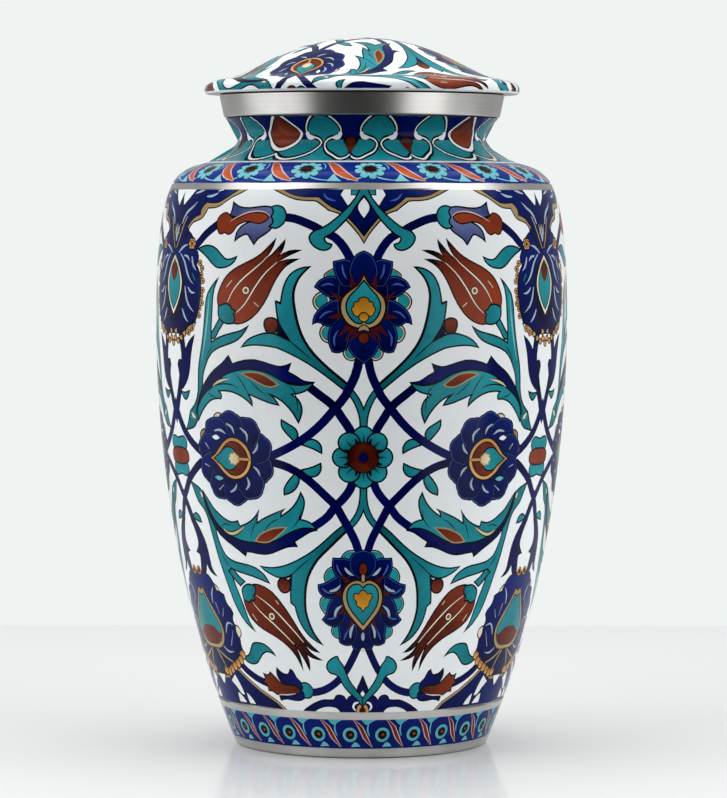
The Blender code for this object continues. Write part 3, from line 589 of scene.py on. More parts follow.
def side_palmette(sheet):
    """The upper palmette on the side axis, with a white lens over turquoise and gilt beads down its rim."""
    petals(sheet, [[(65.4, 164.4, 1), (67, 162.2), (71.6, 160.2), (74.4, 160.6, 1), (70, 164.4)]], "ivory", "gilt")
    for bead in ((63.6, 186.4), (62.4, 184.4), (62.7, 182), (61.8, 179.8), (61.9, 176.4), (62.5, 174.2), (62.2, 171.8),
                 (63.4, 169.8), (63.7, 167.2), (67.4, 162.4), (69.6, 160.8)):
        sheet.ring(bead, 0.95, 0.5, "amber", "umber", 0.3)
    sheet.drawn([(67.6, 194.4, 1), (66, 191.4), (64.6, 188.6), (65.6, 185.6, 1), (63.8, 183), (63, 180, 1), (62.8, 176),
                 (63.4, 172.6, 1), (64.2, 168.6), (65.8, 164.6, 1), (70, 163), (72, 161, 1), (76, 160.4),
                 (PAST_SECOND, 161, 1), (PAST_SECOND, 191, 1), (78, 192), (74.4, 195), (71.4, 197.6), (69, 196, 1)],
                "cobalt", 0.85, 0.5, (0, 1))
    sheet.fill([(72.8, 174.4), (73.6, 170), (77, 165), (PAST_SECOND, 163.6, 1), (PAST_SECOND, 189, 1), (77, 187), (73.6, 182.6)],
               "cobalt", 1.0)
    streaks(sheet, [[(67, 178.6), (69, 180), (71.2, 183), (72.8, 186.4), (76, 189.6)],
                    [(69.8, 187), (71.2, 188.6), (73.4, 189)], [(71.4, 193), (74.4, 192.2), (77.4, 190)],
                    [(66.6, 168.4), (69.8, 171), (71.2, 173.6), (72.2, 177.6)], [(70, 164.6), (72, 166.4), (73.8, 169.4)],
                    [(66, 175.4), (68.2, 175.6), (70.2, 177.4)], [(65.6, 183.6), (67.4, 185.4), (68.4, 188.6)]], 0.9)
    sheet.stroke([(66.2, 180), (67.7, 182.4)], 1.0, "turquoise", 0.4, 0.4)
    sheet.drawn([(SECOND_AXIS, 189.6, 1), (76.4, 184.8), (74.2, 178.8), (76, 173), (SECOND_AXIS, 167, 1),
                 (PAST_SECOND, 172, 1), (PAST_SECOND, 184.6, 1)], "ivory", 0.1, line=0.5)
    sheet.drawn([(SECOND_AXIS, 187.6, 1), (77.4, 184), (75.7, 178.8), (77.1, 173.4), (SECOND_AXIS, 169.2, 1),
                 (PAST_SECOND, 173.4, 1), (PAST_SECOND, 183.6, 1)], "turquoise", 0.5, 0.15, (0, 1), 0.45)
    sheet.fill([(SECOND_AXIS, 187, 1), (78, 184.4), (78.3, 181.4), (SECOND_AXIS, 179.4, 1), (PAST_SECOND, 181, 1),
                (PAST_SECOND, 184.6, 1)], "tomato", 0.6, 0.9)
    for bead in ((72.4, 160.4), (74.6, 158.8), (76.8, 157.6), (78.8, 158.6), (78.4, 161.2), (SECOND_AXIS, 156.8)):
        sheet.drawn(scalloped(bead, 1.15, 3, 0.3), "amber", 0.1, 0.6, line=0.45)
    sheet.drawn(scalloped((68.9, 193.4), 2.3, 6, 0.5), "amber", 0.2, 0.7, line=0.5)
    sheet.ring((68.9, 193.4), 1.1, 0.45, "amber", "umber", 0.25)


def side_leaf(sheet):
    """Navy leaves that grow from the stems up to the side palmettes."""
    sheet.drawn([(66.3, 159.8, 1), (67.5, 156.4), (68.6, 152.1), (69.3, 147.9), (70.9, 143.6), (74.4, 140, 1),
                 (77.4, 140.4, 1), (76.3, 144.3), (77.3, 148.6, 1), (76.3, 150.5), (74.4, 150.2, 1), (74.4, 153),
                 (75.7, 158.6), (76, 161, 1), (73, 161.2, 1), (72.6, 158), (71.8, 154.3, 1), (69.4, 157.4)],
                "navy", 0.4, 0.75, (1, 0))
    sheet.drawn([(65.3, 70.2, 1), (67.4, 72.4), (68.2, 77), (69, 82), (70.5, 85.5), (73, 89.2), (75.4, 92, 1),
                 (77.6, 91, 1), (75.4, 87), (74.4, 82), (77, 78.6, 1), (74.8, 77.8), (75, 74.6), (76, 70.8, 1),
                 (73.4, 70, 1), (72, 72), (70.9, 75, 1), (68.8, 71.8)], "navy", 0.4, 0.75, (1, 0))


def side_bow(sheet):
    """The red bow with turquoise lobes on the side axis."""
    for up in (1, -1):
        sheet.drawn([(75.2, 114.8 + 2 * up, 1), (74.2, 114.8 + 5.4 * up), (76, 114.8 + 7.4 * up), (78.6, 114.8 + 7.1 * up),
                     (PAST_SECOND, 114.8 + 5.4 * up, 1), (PAST_SECOND, 114.8, 1)], "turquoise", 0.5, 0.25, (0, up))
    sheet.drawn([(PAST_SECOND, 117, 1), (76, 117.5), (73.9, 116.4), (73.4, 114.8), (73.9, 113), (76, 112.1),
                 (PAST_SECOND, 112.6, 1)], "tomato", 0.3, 0.6, (1, 0))


def lower_side_palmette(sheet):
    """The lower palmette on the side axis, with a tall gilt drop and a row of amber petals under it."""
    petals(sheet, [[(69, 67.4, 1), (66.4, 66), (65.2, 64, 1), (68, 63.4)], [(60, 51.8, 1), (57.4, 51), (56.6, 48.6), (58.4, 46.6, 1), (60.4, 48.4)]],
           "ivory")
    sheet.drawn([(PAST_SECOND, 70.8, 1), (76, 71), (71.1, 69.9), (68.5, 67), (67.4, 64.4, 1), (65, 64), (62.9, 63.1, 1),
                 (62.4, 60.6), (61.4, 59, 1), (60, 57.8), (59.3, 56.2, 1), (60.3, 53.6), (59.4, 51.4, 1), (59.4, 48),
                 (58.1, 46.4, 1), (58.2, 43.6), (57.4, 40.4, 1), (60, 37.2), (64.4, 34.6), (70, 32.2), (PAST_SECOND, 31, 1)],
                "cobalt", 0.85, 0.45, (0, 1))
    streaks(sheet, [[(64.8, 58), (66.4, 54.6)], [(60.7, 51.5), (63.6, 52.3), (66.6, 48)], [(61.6, 49.4), (64.8, 43.3)],
                    [(68.4, 55), (69.8, 59.6)], [(63.9, 41), (67.4, 40.6), (70.9, 42.4)], [(69.4, 65.8), (71.4, 62.8), (71.8, 59.4)]])
    for petal in ((58.6, 40.2), (60.6, 37.9), (63.2, 36.3), (66, 35), (68.8, 33.6), (71.4, 32.4), (74, 32.6)):
        sheet.drawn(scalloped(petal, 1.9, 3, 0.4), "amber", 0.0, 0.9, (0.4, 1), 0.5)
    for vein in ([(77, 41), (72, 38.4), (66.4, 36.6)], [(78.4, 41), (75.6, 37.6), (73.4, 33.6)]):
        sheet.stroke(vein, 1.1, "gilt", 0.6, 0.5, low=0.2, line=0.4)
    sheet.drawn([(SECOND_AXIS - 2.2, 65, 1), (74.6, 59.6), (70.6, 54.6), (68.1, 49.2), (69.6, 44.4), (73.2, 41.8), (76.6, 41.2),
                 (PAST_SECOND, 42, 1), (PAST_SECOND, 62, 1)], "gilt", 0.35, 0.6, line=0.4)
    drop = [(SECOND_AXIS - 2, 62.6, 1), (74.8, 57.4), (71.6, 53), (69.7, 49), (71, 45.6), (74, 43.6), (77, 43),
            (PAST_SECOND, 43.6, 1), (PAST_SECOND, 60, 1)]
    sheet.drawn(drop, "turquoise", 0.3, 0.6, (1, 0), 0.45)
    sheet.fill([(70.2, 47.6, 1), (72, 45), (75, 43.6), (PAST_SECOND, 43.9, 1), (PAST_SECOND, 49.4, 1), (75, 49.6), (72, 47.8)],
               "tomato", 0.7)
    sheet.ring((78.2, 71.4), 1.6, 0.6, "gold", "umber", 0.25)


def top_border(sheet):
    """Cobalt hangings under the shoulder, with a gilt edge, white kites and streaks."""
    sheet.fill([(PAST_FIRST, 192.6, 1), (0.8, 193.6, 1), (2.6, 196.7), (6.9, 201.9), (9.4, 204.4), (13, 205.6), (17.5, 209),
                (21, 209.2), (24.8, 209.6), (30.1, 211.7), (35.6, 214.4, 1), (PAST_FIRST, 214.4, 1)], "ink")
    sheet.fill([(PAST_FIRST, 193.4, 1), (0.8, 194.5, 1), (2.5, 197.4), (6.6, 202.4), (9, 204.8), (12.8, 206.1), (17.2, 209.5),
                (21, 209.7), (24.8, 210.1), (30.1, 212.2), (34.4, 214.4, 1), (PAST_FIRST, 214.4, 1)], "gilt", 0.3, 0.6, (1, 0))
    sheet.fill([(PAST_FIRST, 194, 1), (0.8, 196.2, 1), (3.3, 199.6), (6.2, 202.9), (8.7, 205.3), (12.1, 207), (16.6, 210.6, 1),
                (19.4, 210.6), (23, 210.8), (26.6, 211.7), (31.6, 214.4, 1), (PAST_FIRST, 214.4, 1)], "ink")
    sheet.fill([(PAST_FIRST, 194.6, 1), (0.8, 197, 1), (3.1, 200.2), (6.0, 203.3), (8.5, 205.8), (11.9, 207.5), (16.3, 211, 1),
                (19.4, 211), (23, 211.2), (26.6, 212.1), (30.8, 214.4, 1), (PAST_FIRST, 214.4, 1)], "cobalt", 0.9, 0.4, (0.5, 1))
    sheet.stroke([(10.6, 209.4), (13.4, 210.2), (15, 212.2)], 0.8, "haze", 0.3, 0.3)
    sheet.drawn([(0.8, 210.8, 1), (3, 207.1), (0.8, 202.8, 1), (PAST_FIRST, 202.8, 1), (PAST_FIRST, 210.8, 1)], "white", line=0.4)
    sheet.drawn([(5.6, 214.2, 1), (3.4, 211.6), (6.4, 207.4, 1), (9.1, 211.7, 1), (7.8, 214.2, 1)], "white", line=0.4)
    sheet.drawn([(PAST_FIRST, 211.6, 1), (5.2, 211.6, 1), (5.2, 214.4, 1), (PAST_FIRST, 214.4, 1)], "turquoise", 0.35, line=0.4)


def side_border(sheet):
    """The taller cobalt hanging over the side palmette."""
    edge = [(43.4, 214.4, 1), (47.1, 212.1), (50.7, 210.5), (53.6, 208.7), (56.1, 207.1), (59.3, 206.4), (61.8, 206.3, 1),
            (62.9, 204.2), (64.8, 202.3), (69.3, 201), (71.3, 199), (71.6, 197), (70.4, 194.6, 1), (74, 193),
            (PAST_SECOND, 190, 1), (PAST_SECOND, 214.4, 1)]
    sheet.fill(edge, "ink")
    sheet.fill(grown(smooth(edge), -0.5), "gilt", 0.3, 0.6, (1, 0))
    sheet.fill([(47.2, 214.4, 1), (50.7, 211.9), (54.3, 209.8), (57, 208.5), (60, 208.3), (63.1, 208.5, 1), (64.8, 207.1),
                (65.7, 205.3), (65.5, 204, 1), (69.6, 202.5), (72.4, 199.8), (74.8, 197.2), (76.4, 196.2), (SECOND_AXIS, 201, 1),
                (PAST_SECOND, 199, 1), (PAST_SECOND, 214.4, 1)], "ink")
    sheet.fill([(48, 214.4, 1), (51, 212.3), (54.5, 210.2), (57.2, 208.9), (60, 208.7), (63.4, 208.8, 1), (65.2, 207.3),
                (66.2, 205.3), (66, 204.2, 1), (70, 202.8), (72.8, 200), (75, 197.8), (76.6, 196.9), (SECOND_AXIS, 202, 1),
                (PAST_SECOND, 200, 1), (PAST_SECOND, 214.4, 1)], "cobalt", 0.45, 0.85, (1, 0))
    sheet.fill([(70.8, 197.4, 1), (73, 200.2, 1), (76.4, 196.8), (PAST_SECOND, 203, 1), (PAST_SECOND, 188, 1), (73, 190)],
               "cobalt", 0.75)
    streaks(sheet, [[(68.9, 209), (71.4, 206.9), (73.8, 205.5), (75.6, 203.7), (77, 200.8)], [(66.2, 213.4), (68.6, 213), (71.4, 212.2)],
                    [(72.4, 197.4), (74, 195), (75.4, 192.6)], [(78.4, 200.6), (79.6, 197.4), (SECOND_AXIS, 194.4)],
                    [(58, 212.4), (61, 211.2), (64, 211)]], 1.0)
    sheet.stroke([(73.9, 203.4), (75.6, 200.6), (77.6, 196), (SECOND_AXIS, 190.4)], 1.0, "gilt", 0.7, 0.5, low=0.2, line=0.45)
    sheet.drawn([(71.4, 214.2, 1), (74.6, 210.6), (78.4, 207.4, 1), (80, 211), (80.8, 214.2, 1)], "white", line=0.4)
    sheet.stroke([(56, 213.6), (58.4, 213.1)], 0.9, "white", 0.4, 0.4)


def bottom_border(sheet):
    """Cobalt clouds and hangings over the lower bare band, with white shapes and a gilt ring."""
    sheet.drawn([(PAST_FIRST, 17, 1), (32, 17, 1), (30, 19), (28.4, 20.2), (25.9, 21.6), (22.3, 23.2), (18.7, 24.2), (15.6, 24.2),
                 (13.9, 24.4, 1), (13, 25.9), (11.2, 26.3), (9.3, 25.6), (8.4, 23.8, 1), (6.6, 25.9), (3.9, 25.8), (2.6, 24),
                 (PAST_FIRST, 24, 1)], "navy", 0.8, 0.4)
    sheet.drawn([(10.8, 18.6, 1), (12.6, 20.8), (16.9, 21.6), (20.9, 20.9), (24, 19), (24, 17, 1), (10.8, 17, 1)], "white", line=0.4)
    sheet.stroke([(2.4, 23.4), (4.4, 23), (5.2, 21.6), (4, 20)], 1.0, "white", 0.4, 0.3)
    sheet.drawn([(PAST_FIRST, 34, 1), (0.8, 34, 1), (2.2, 31), (3.4, 28.4), (2.6, 25.6), (0.8, 23, 1), (PAST_FIRST, 23, 1)],
                "navy", 0.7)
    sheet.fill([(0.8, 28.2, 1), (2.1, 26), (0.8, 23.8, 1), (PAST_FIRST, 26, 1)], "white")
    sheet.ring((FIRST_AXIS, 20), 2.9, 1.3, "amber", "umber", 0.3)
    crest = [(36.4, 17, 1), (40.4, 20.4), (42.9, 22.4), (47.1, 24.5), (51.8, 26.7), (56.1, 29.2), (60, 31.7), (62.9, 33.8),
             (66, 35.4), (70, 33.6), (73.6, 30.6, 1), (PAST_SECOND, 30, 1), (PAST_SECOND, 17, 1)]
    sheet.fill(grown(smooth(crest), 0.35), "ink")
    sheet.fill(smooth(crest), "gilt", 0.3, 0.6, (1, 0))
    sheet.fill(grown(smooth(crest), -0.9), "ink")
    sheet.fill(grown(smooth(crest), -1.2), "cobalt", 0.85, 0.45, (1, 0.4))
    for outline in ([(57.3, 20.2, 1), (59.4, 23), (62.4, 25, 1), (62.4, 22.4), (61.9, 20.2, 1)],
                    [(67.8, 31.8, 1), (65.5, 28.2), (63.7, 23.6, 1), (66.4, 23.8), (68.6, 26), (72.3, 28.8, 1)],
                    [(63.8, 20.3, 1), (66, 23), (69.1, 24.6, 1), (69.8, 22.6), (69.6, 20.3, 1)]):
        sheet.drawn(outline, "white", line=0.4)
    sheet.drawn([(77.3, 35.4, 1), (75.9, 33), (77.6, 29.4), (SECOND_AXIS + 1.6, 25, 1), (PAST_SECOND, 30, 1), (PAST_SECOND, 33, 1)],
                "white", line=0.4)


def field_painting():
    """The whole painting of half a repeat, from the ground up."""
    sheet = Sheet()
    top_border(sheet)
    ribbons(sheet)
    forked_leaves(sheet)
    stems(sheet)
    side_border(sheet)
    bottom_border(sheet)
    for motif in (small_leaves, crossing_buds, tulip_stems, side_leaf, saz_leaves, curved_leaves):
        motif(sheet)
    tulip(sheet, upper=True)
    tulip(sheet, upper=False)
    for motif in (bent_buds, side_bow, rosette, middle_palmette, lower_palmette, side_flower, side_palmette,
                  lower_side_palmette):
        motif(sheet)
    return sheet.patches


# Narrow friezes and the neck. In the friezes, across is in millimetres on the wall and a cell repeats all
# round; on the neck, across is in degrees from the middle of its repeat and up is the height in millimetres.

FOOT_FRIEZE_REPEATS = 27
FOOT_FRIEZE_RADIUS = 49.5
FOOT_CELL = 2 * math.pi * FOOT_FRIEZE_RADIUS / FOOT_FRIEZE_REPEATS
SHOULDER_FRIEZE_REPEATS = 18
SHOULDER_FRIEZE_RADIUS = 66.0
SHOULDER_CELL = 2 * math.pi * SHOULDER_FRIEZE_RADIUS / SHOULDER_FRIEZE_REPEATS


def blade(sheet, points, width, glaze, line):
    """A leaning curved blade with a pale outline, between two flowers of a frieze."""
    sheet.fill(stroke(points, width + 2 * line, 0.25, 0.2), "blush", 0.3, 0.6)
    sheet.fill(stroke(points, width, 0.25, 0.15), glaze, 0.3, 0.75, (0.4, 1))


def wrapped(sheet, width):
    """The cell's painting with copies of itself to the left and right, so that it runs on all round."""
    return [patch._replace(outline=patch.outline + (shift, 0))
            for patch in sheet.patches for shift in (-width, 0, width)]


def foot_frieze():
    """Eye-shaped aqua flowers and red-brown blades on cobalt, above the foot."""
    sheet = Sheet()
    middle = (3.2, 10.0)
    sheet.fill([(7.2, 16.6, 1), (7.9, 15.2), (9.6, 14), (10.4, 15), (13.2, 16.6, 1)], "aqua", 0.9, 1.0)
    sheet.stroke([(9.6, 14), (9.4, 12), (10.2, 9.4)], 0.5, "aqua", 0.8, 0.3, low=0.7)
    sheet.fill([(3.4, 4.9, 1), (5, 6.9), (6.9, 5.1, 1)], "aqua", 0.6)
    blade(sheet, [(4.6, 16.2), (7, 13), (8.7, 8.8), (11.2, 4.9)], 1.25, "tomato", 0.34)
    sheet.drawn(disc(middle, 2.75, 1.15), "aqua", 0.7, 1.0, (1, 0), 0.3, "navy")
    sheet.drawn(disc(middle, 1.45, 1.2), "umber", 0.9, line=0.35)
    sheet.fill(disc((middle[0] + 0.2, middle[1]), 0.5), "gold", 0.9)
    return wrapped(sheet, FOOT_CELL)


def shoulder_frieze():
    """Ragged aqua flowers with a dark eye and orange blades on cobalt, on the turn of the shoulder."""
    sheet = Sheet()
    middle = (3.0, 223.7)
    sheet.stroke([(-5, 217.6), (-1.2, 218.2), (1.6, 219.6), (3, 221.6), (4.2, 219.6), (7.4, 218), (12.5, 217.4)], 0.65, "aqua", 0.5, 0.4)
    sheet.fill([(11.2, 217, 1), (12.6, 219.2), (13.4, 220.6, 1), (14.6, 218.6), (16.2, 217, 1)], "aqua", 0.3)
    sheet.stroke([(8, 229), (9.6, 226), (9.6, 223)], 0.5, "aqua", 0.5, 0.3, low=0.6)
    blade(sheet, [(9.6, 230.4), (12.6, 226.6), (15.4, 221.6), (21.6, 217.3)], 3.0, "coral", 0.55)
    sheet.drawn(scalloped(middle, 5.9, 9, 1.6), "aqua", 0.25, 0.7, (0.4, -1), 0.3, "navy")
    sheet.fill(scalloped(middle, 3.2, 9, 0.8), "turquoise", 0.5)
    sheet.fill(scalloped(middle, 2.5, 8, 0.4), "umber", 0.55, 0.8)
    return wrapped(sheet, SHOULDER_CELL)


NECK_HALF_REPEAT = 45.0


def neck_painting():
    """Turquoise spades and lobes outlined in white, and red drops, on navy."""
    sheet = Sheet()
    sheet.fill([(-3, 218, 1), (48, 218, 1), (48, 227.6, 1), (-3, 227.6, 1)], "turquoise", 0.2, 0.5, (0, 1))
    for spade in (0.0, 25.0):
        sheet.fill([(spade, 237.6, 1), (spade + 3.6, 235.9), (spade + 6.8, 233.4), (spade + 7.6, 230.4, 1),
                    (spade + 4.6, 229.3), (spade + 1.8, 227, 1), (spade - 1.8, 227, 1), (spade - 4.6, 229.3),
                    (spade - 7.6, 230.4, 1), (spade - 6.8, 233.4), (spade - 3.6, 235.9)], "turquoise", 0.6, 0.3, (0, -1))
    sheet.fill([(8.2, 228.6, 1), (12.5, 222.2, 1), (16.8, 228.6, 1)], "ink")
    sheet.fill([(12.5, 229.6, 1), (14.5, 227.6), (14.6, 225.6), (12.5, 223, 1), (10.4, 225.6), (10.5, 227.6)],
               "tomato", 0.6, 1.0)
    lappet = [(2.4, 237), (6.3, 234.2), (8.1, 231.4), (7.6, 229.3), (4.8, 228.5), (2.1, 227.7), (0.9, 226.2), (1.9, 224),
              (5.6, 221.9), (9.3, 220.5), (11, 220.9), (12.5, 222.1)]
    outer = [(27.6, 237), (31.3, 234.2), (33.1, 231.2), (32.4, 229.1), (29.6, 228.5), (26.9, 227.8), (25.7, 226.4), (27.4, 224.2),
             (32, 221.5), (37.5, 220.4), (42, 221.1), (46, 223)]
    for line in (lappet, [(25 - x, y) for x, y in reversed(lappet)], outer):
        sheet.stroke(line, 1.25, "white", 1.0, 1.0, low=0.1, line=0.7)
    for hook in ([(7.9, 230.2), (7.2, 228.9), (4.6, 228.4)], [(17.1, 230.2), (17.8, 228.9), (20.4, 228.4)],
                 [(32.9, 230.2), (32.2, 228.9), (29.6, 228.4)]):
        sheet.stroke(hook, 1.9, "white", 0.8, 0.5, low=0.1)
    sheet.drawn([(45, 238.6, 1), (41, 235.6), (37.4, 232.6), (34.8, 230), (36.6, 226.8), (40, 224.4), (45, 223.2), (50, 224.4),
                 (53.4, 226.8), (55.2, 230), (52.6, 232.6), (49, 235.6)], "white", 0.1, line=0.5)
    sheet.drawn([(45, 236.8, 1), (41.6, 234.3), (38.6, 232), (36.6, 230), (38, 227.6), (41, 225.8), (45, 224.8), (49, 225.8),
                 (52, 227.6), (53.4, 230), (51.4, 232), (48.4, 234.3)], "tomato", 0.85, 0.35, (0.2, -1), 0.5)
    return sheet.patches


# Meshes: a sheet becomes triangles that keep its colour edges, and is then rolled on to the urn.

GRID_STEP = 3.6
TOO_CLOSE = 0.45
Flat = namedtuple("Flat", "points triangles glazes tones")


def inside(points, outline):
    """Which points the outline winds round."""
    start, end = outline, np.roll(outline, -1, axis=0)
    x, y = points[:, :1], points[:, 1:]
    side = (end[:, 0] - start[:, 0]) * (y - start[:, 1]) - (x - start[:, 0]) * (end[:, 1] - start[:, 1])
    rises = (start[:, 1] <= y) & (end[:, 1] > y) & (side > 0)
    falls = (start[:, 1] > y) & (end[:, 1] <= y) & (side < 0)
    return rises.sum(axis=1) != falls.sum(axis=1)


def topmost(points, patches):
    """The number of the patch that shows at each point, or -1 for the bare ground colour."""
    owner = np.full(len(points), -1)
    for number, patch in enumerate(patches):
        low, high = patch.outline.min(axis=0), patch.outline.max(axis=0)
        near = np.flatnonzero(((points >= low) & (points <= high)).all(axis=1))
        if len(near):
            owner[near[inside(points[near], patch.outline)]] = number
    return owner


def triangulate(points, edges):
    """Triangles that keep every edge; crossing edges are cut where they meet."""
    result = delaunay_2d_cdt([Vector(point) for point in points], edges, [], 0, 1e-5)
    return np.array([tuple(point) for point in result[0]]), np.array(result[2]), np.array(result[1])


def closed_edges(start, count):
    return [(start + k, start + (k + 1) % count) for k in range(count)]


def colour_edges(patches, border):
    """Only the edges of the sheet at which its colour changes, cut off at the border."""
    points, edges = list(border), closed_edges(0, len(border))
    for patch in patches:
        edges += closed_edges(len(points), len(patch.outline))
        points += list(patch.outline)
    points, triangles, _ = triangulate(points, edges)
    middles = points[triangles].mean(axis=1)
    owner = topmost(middles, patches)
    owner[~inside(middles, np.array(border))] = -2
    sides = np.sort(np.concatenate([triangles[:, [0, 1]], triangles[:, [1, 2]], triangles[:, [2, 0]]]), axis=1)
    owners = np.tile(owner, 3)
    order = np.lexsort((sides[:, 1], sides[:, 0]))
    sides, owners = sides[order], owners[order]
    same = (sides[1:] == sides[:-1]).all(axis=1)
    differ = same & (owners[1:] != owners[:-1])
    kept = sides[1:][differ]
    lone = np.ones(len(sides), bool)
    lone[1:][same] = False
    lone[:-1][same] = False
    kept = np.vstack([kept, sides[lone & (owners >= -1)]])
    used, numbers = np.unique(kept, return_inverse=True)
    return points[used], numbers.reshape(-1, 2)


def settle(patches, border, ground, edge_points=None, edge_lines=None, fold=None, added_border=True):
    """The flat sheet as triangles, each with its glaze, and each corner with how deep the glaze lies."""
    border = np.array(border, float)
    if edge_points is None:
        edge_points, edge_lines = colour_edges(patches, border)
        added_border = False
    points = [tuple(point) for point in edge_points]
    start_edges = [tuple(line) for line in edge_lines]
    if added_border:
        start_edges += closed_edges(len(points), len(border))
        points += [tuple(point) for point in border]
    taken = {(round(x / TOO_CLOSE), round(y / TOO_CLOSE)) for x, y in points}
    low, high = border.min(axis=0), border.max(axis=0)
    columns, rows = np.ceil((high - low) / GRID_STEP).astype(int)
    for column in range(1, columns):
        for row in range(1, rows):
            x = low[0] + (high[0] - low[0]) * column / columns
            y = low[1] + (high[1] - low[1]) * row / rows
            a, b = round(x / TOO_CLOSE), round(y / TOO_CLOSE)
            if not any((a + i, b + j) in taken for i in (-1, 0, 1) for j in (-1, 0, 1)):
                points.append((x, y))
    points, triangles, _ = triangulate(points, start_edges)
    middles = points[triangles].mean(axis=1)
    keep = inside(middles, border)
    triangles, middles = triangles[keep], middles[keep]
    corners = points[triangles]
    if fold:
        middles = fold(middles)
        corners = fold(corners.reshape(-1, 2)).reshape(-1, 3, 2)
    owner = topmost(middles, patches)
    glazes = np.full(len(triangles), GLAZE_ORDER.index(ground))
    tones = np.full((len(triangles), 3), 0.4)
    for number in np.unique(owner[owner >= 0]):
        patch = patches[number]
        mine = owner == number
        glazes[mine] = GLAZE_ORDER.index(patch.glaze)
        along = np.array(patch.along, float)
        extent = patch.outline @ along
        share = (corners[mine] @ along - extent.min()) / (np.ptp(extent) + 1e-9)
        tones[mine] = patch.low + (patch.high - patch.low) * np.clip(share, 0, 1)
    return Flat(points, triangles, glazes, tones)


# Profiles, in millimetres, with the same sizes as the solids: (radius, height) of each point.

MOUTH, THROAT, TURN = (51.5, 236.2), (46.8, 228.9), (61.0, 218.9)
SHOULDER, BELLY, FOOT = (71.9, 210.8), (77.7, 160.3), (47.5, 0.0)
WALL_THICKNESS = 2.5
FOOT_RECESS = 3.0
FOOT_RING_INSIDE = 42.1
FOOT_ROUNDING = 0.6
SMOOTH_STEPS = 60
LINING_CORNERS = 160


def bezier(start, end, start_pull, end_pull, steps=SMOOTH_STEPS):
    """Cubic curve whose two handles are given as shares (across, up) of the way to the other end."""
    start, end = np.array(start, float), np.array(end, float)
    first, second = start + (end - start) * start_pull, end + (start - end) * end_pull
    t = np.linspace(0, 1, steps + 1)[:, None]
    return (1 - t)**3 * start + 3 * t * (1 - t)**2 * first + 3 * t**2 * (1 - t) * second + t**3 * end


def joined(*runs):
    """One line of points from several runs, without the doubled points where they meet."""
    points = np.vstack(runs)
    keep = np.ones(len(points), bool)
    keep[1:] = np.hypot(*np.diff(points, axis=0).T) > 1e-6
    return points[keep]


class Wall:
    """A turned surface, read by the distance along its profile."""

    def __init__(self, profile):
        self.profile = profile
        ahead = np.gradient(profile, axis=0)
        self.runs = np.concatenate([[0], np.cumsum(np.hypot(*np.diff(profile, axis=0).T))])
        self.leans = np.unwrap(np.arctan2(-ahead[:, 0], ahead[:, 1]))

    def at(self, run):
        """Radius, height and the angle at which the surface faces up, at distances along the profile."""
        return (np.interp(run, self.runs, self.profile[:, 0]), np.interp(run, self.runs, self.profile[:, 1]),
                np.interp(run, self.runs, self.leans))

    def run_at_height(self, height):
        return np.interp(height, self.profile[:, 1], self.runs)


SIDE = Wall(joined(
    bezier(MOUTH, THROAT, (0.50, 0.35), (0.0, 0.40)), bezier(THROAT, TURN, (0.0, 0.61), (0.085, 0.03)),
    bezier(TURN, SHOULDER, (0.33, 0.10), (0.18, 0.61)), bezier(SHOULDER, BELLY, (0.26, 0.075), (0.0, 0.79)),
    bezier(BELLY, FOOT, (0.0, 0.37), (0.63, 0.28), 120))[::-1])

FOOT_BAND_TOP = 3.8
FOOT_FRIEZE_TOP = 15.1
LOWER_BAND_TOP = 18.0
SHOULDER_BAND_FOOT = 209.3
SHOULDER_BAND_TOP = 211.8
SHOULDER_FRIEZE_TOP = 219.25
LIGHT_LINE_TOP = 219.8
RUNS = {name: float(SIDE.run_at_height(height)) for name, height in {
    "edge": FOOT_ROUNDING, "foot band": FOOT_BAND_TOP, "foot frieze": FOOT_FRIEZE_TOP, "lower band": LOWER_BAND_TOP,
    "field": SHOULDER_BAND_FOOT, "shoulder band": SHOULDER_BAND_TOP, "shoulder frieze": SHOULDER_FRIEZE_TOP,
    "light line": LIGHT_LINE_TOP, "mouth": MOUTH[1]}.items()}


class Skin:
    """Triangles gathered strip by strip, with a glaze for each and depth, lean and flat place for each corner."""

    def __init__(self):
        self.parts = []

    def add(self, places, triangles, glazes, tones, leans, flat):
        """places and leans are per point; tones and flat are per triangle corner."""
        self.parts.append((np.asarray(places), np.asarray(triangles), np.broadcast_to(glazes, len(triangles)),
                           np.broadcast_to(tones, (len(triangles), 3)), np.asarray(leans)[triangles], flat))

    def piece(self, name, glaze_names):
        """One mesh object of everything gathered, welded, in metres."""
        counts = np.cumsum([0] + [len(part[0]) for part in self.parts])
        places = np.vstack([part[0] for part in self.parts]) * MM
        triangles = np.vstack([part[1] + shift for part, shift in zip(self.parts, counts)])
        mesh = bpy.data.meshes.new(name)
        mesh.from_pydata(places.tolist(), [], triangles.tolist())
        for glaze in glaze_names:
            mesh.materials.append(MATERIALS[glaze])
        order = np.array([glaze_names.index(glaze) if glaze in glaze_names else 0 for glaze in GLAZE_ORDER])
        mesh.polygons.foreach_set("material_index", order[np.concatenate([part[2] for part in self.parts])])
        for title, column in (("depth", 3), ("lean", 4)):
            layer = mesh.attributes.new(title, "FLOAT", "CORNER")
            layer.data.foreach_set("value", np.vstack([part[column] for part in self.parts]).astype(np.float32).ravel())
        flat = mesh.uv_layers.new(name="OFBake")
        flat.uv.foreach_set("vector", np.vstack([part[5].reshape(-1, 2) for part in self.parts]).astype(np.float32).ravel())
        weld(mesh)
        face_out(mesh)
        piece = bpy.data.objects.new(name, mesh)
        bpy.context.scene.collection.objects.link(piece)
        return piece


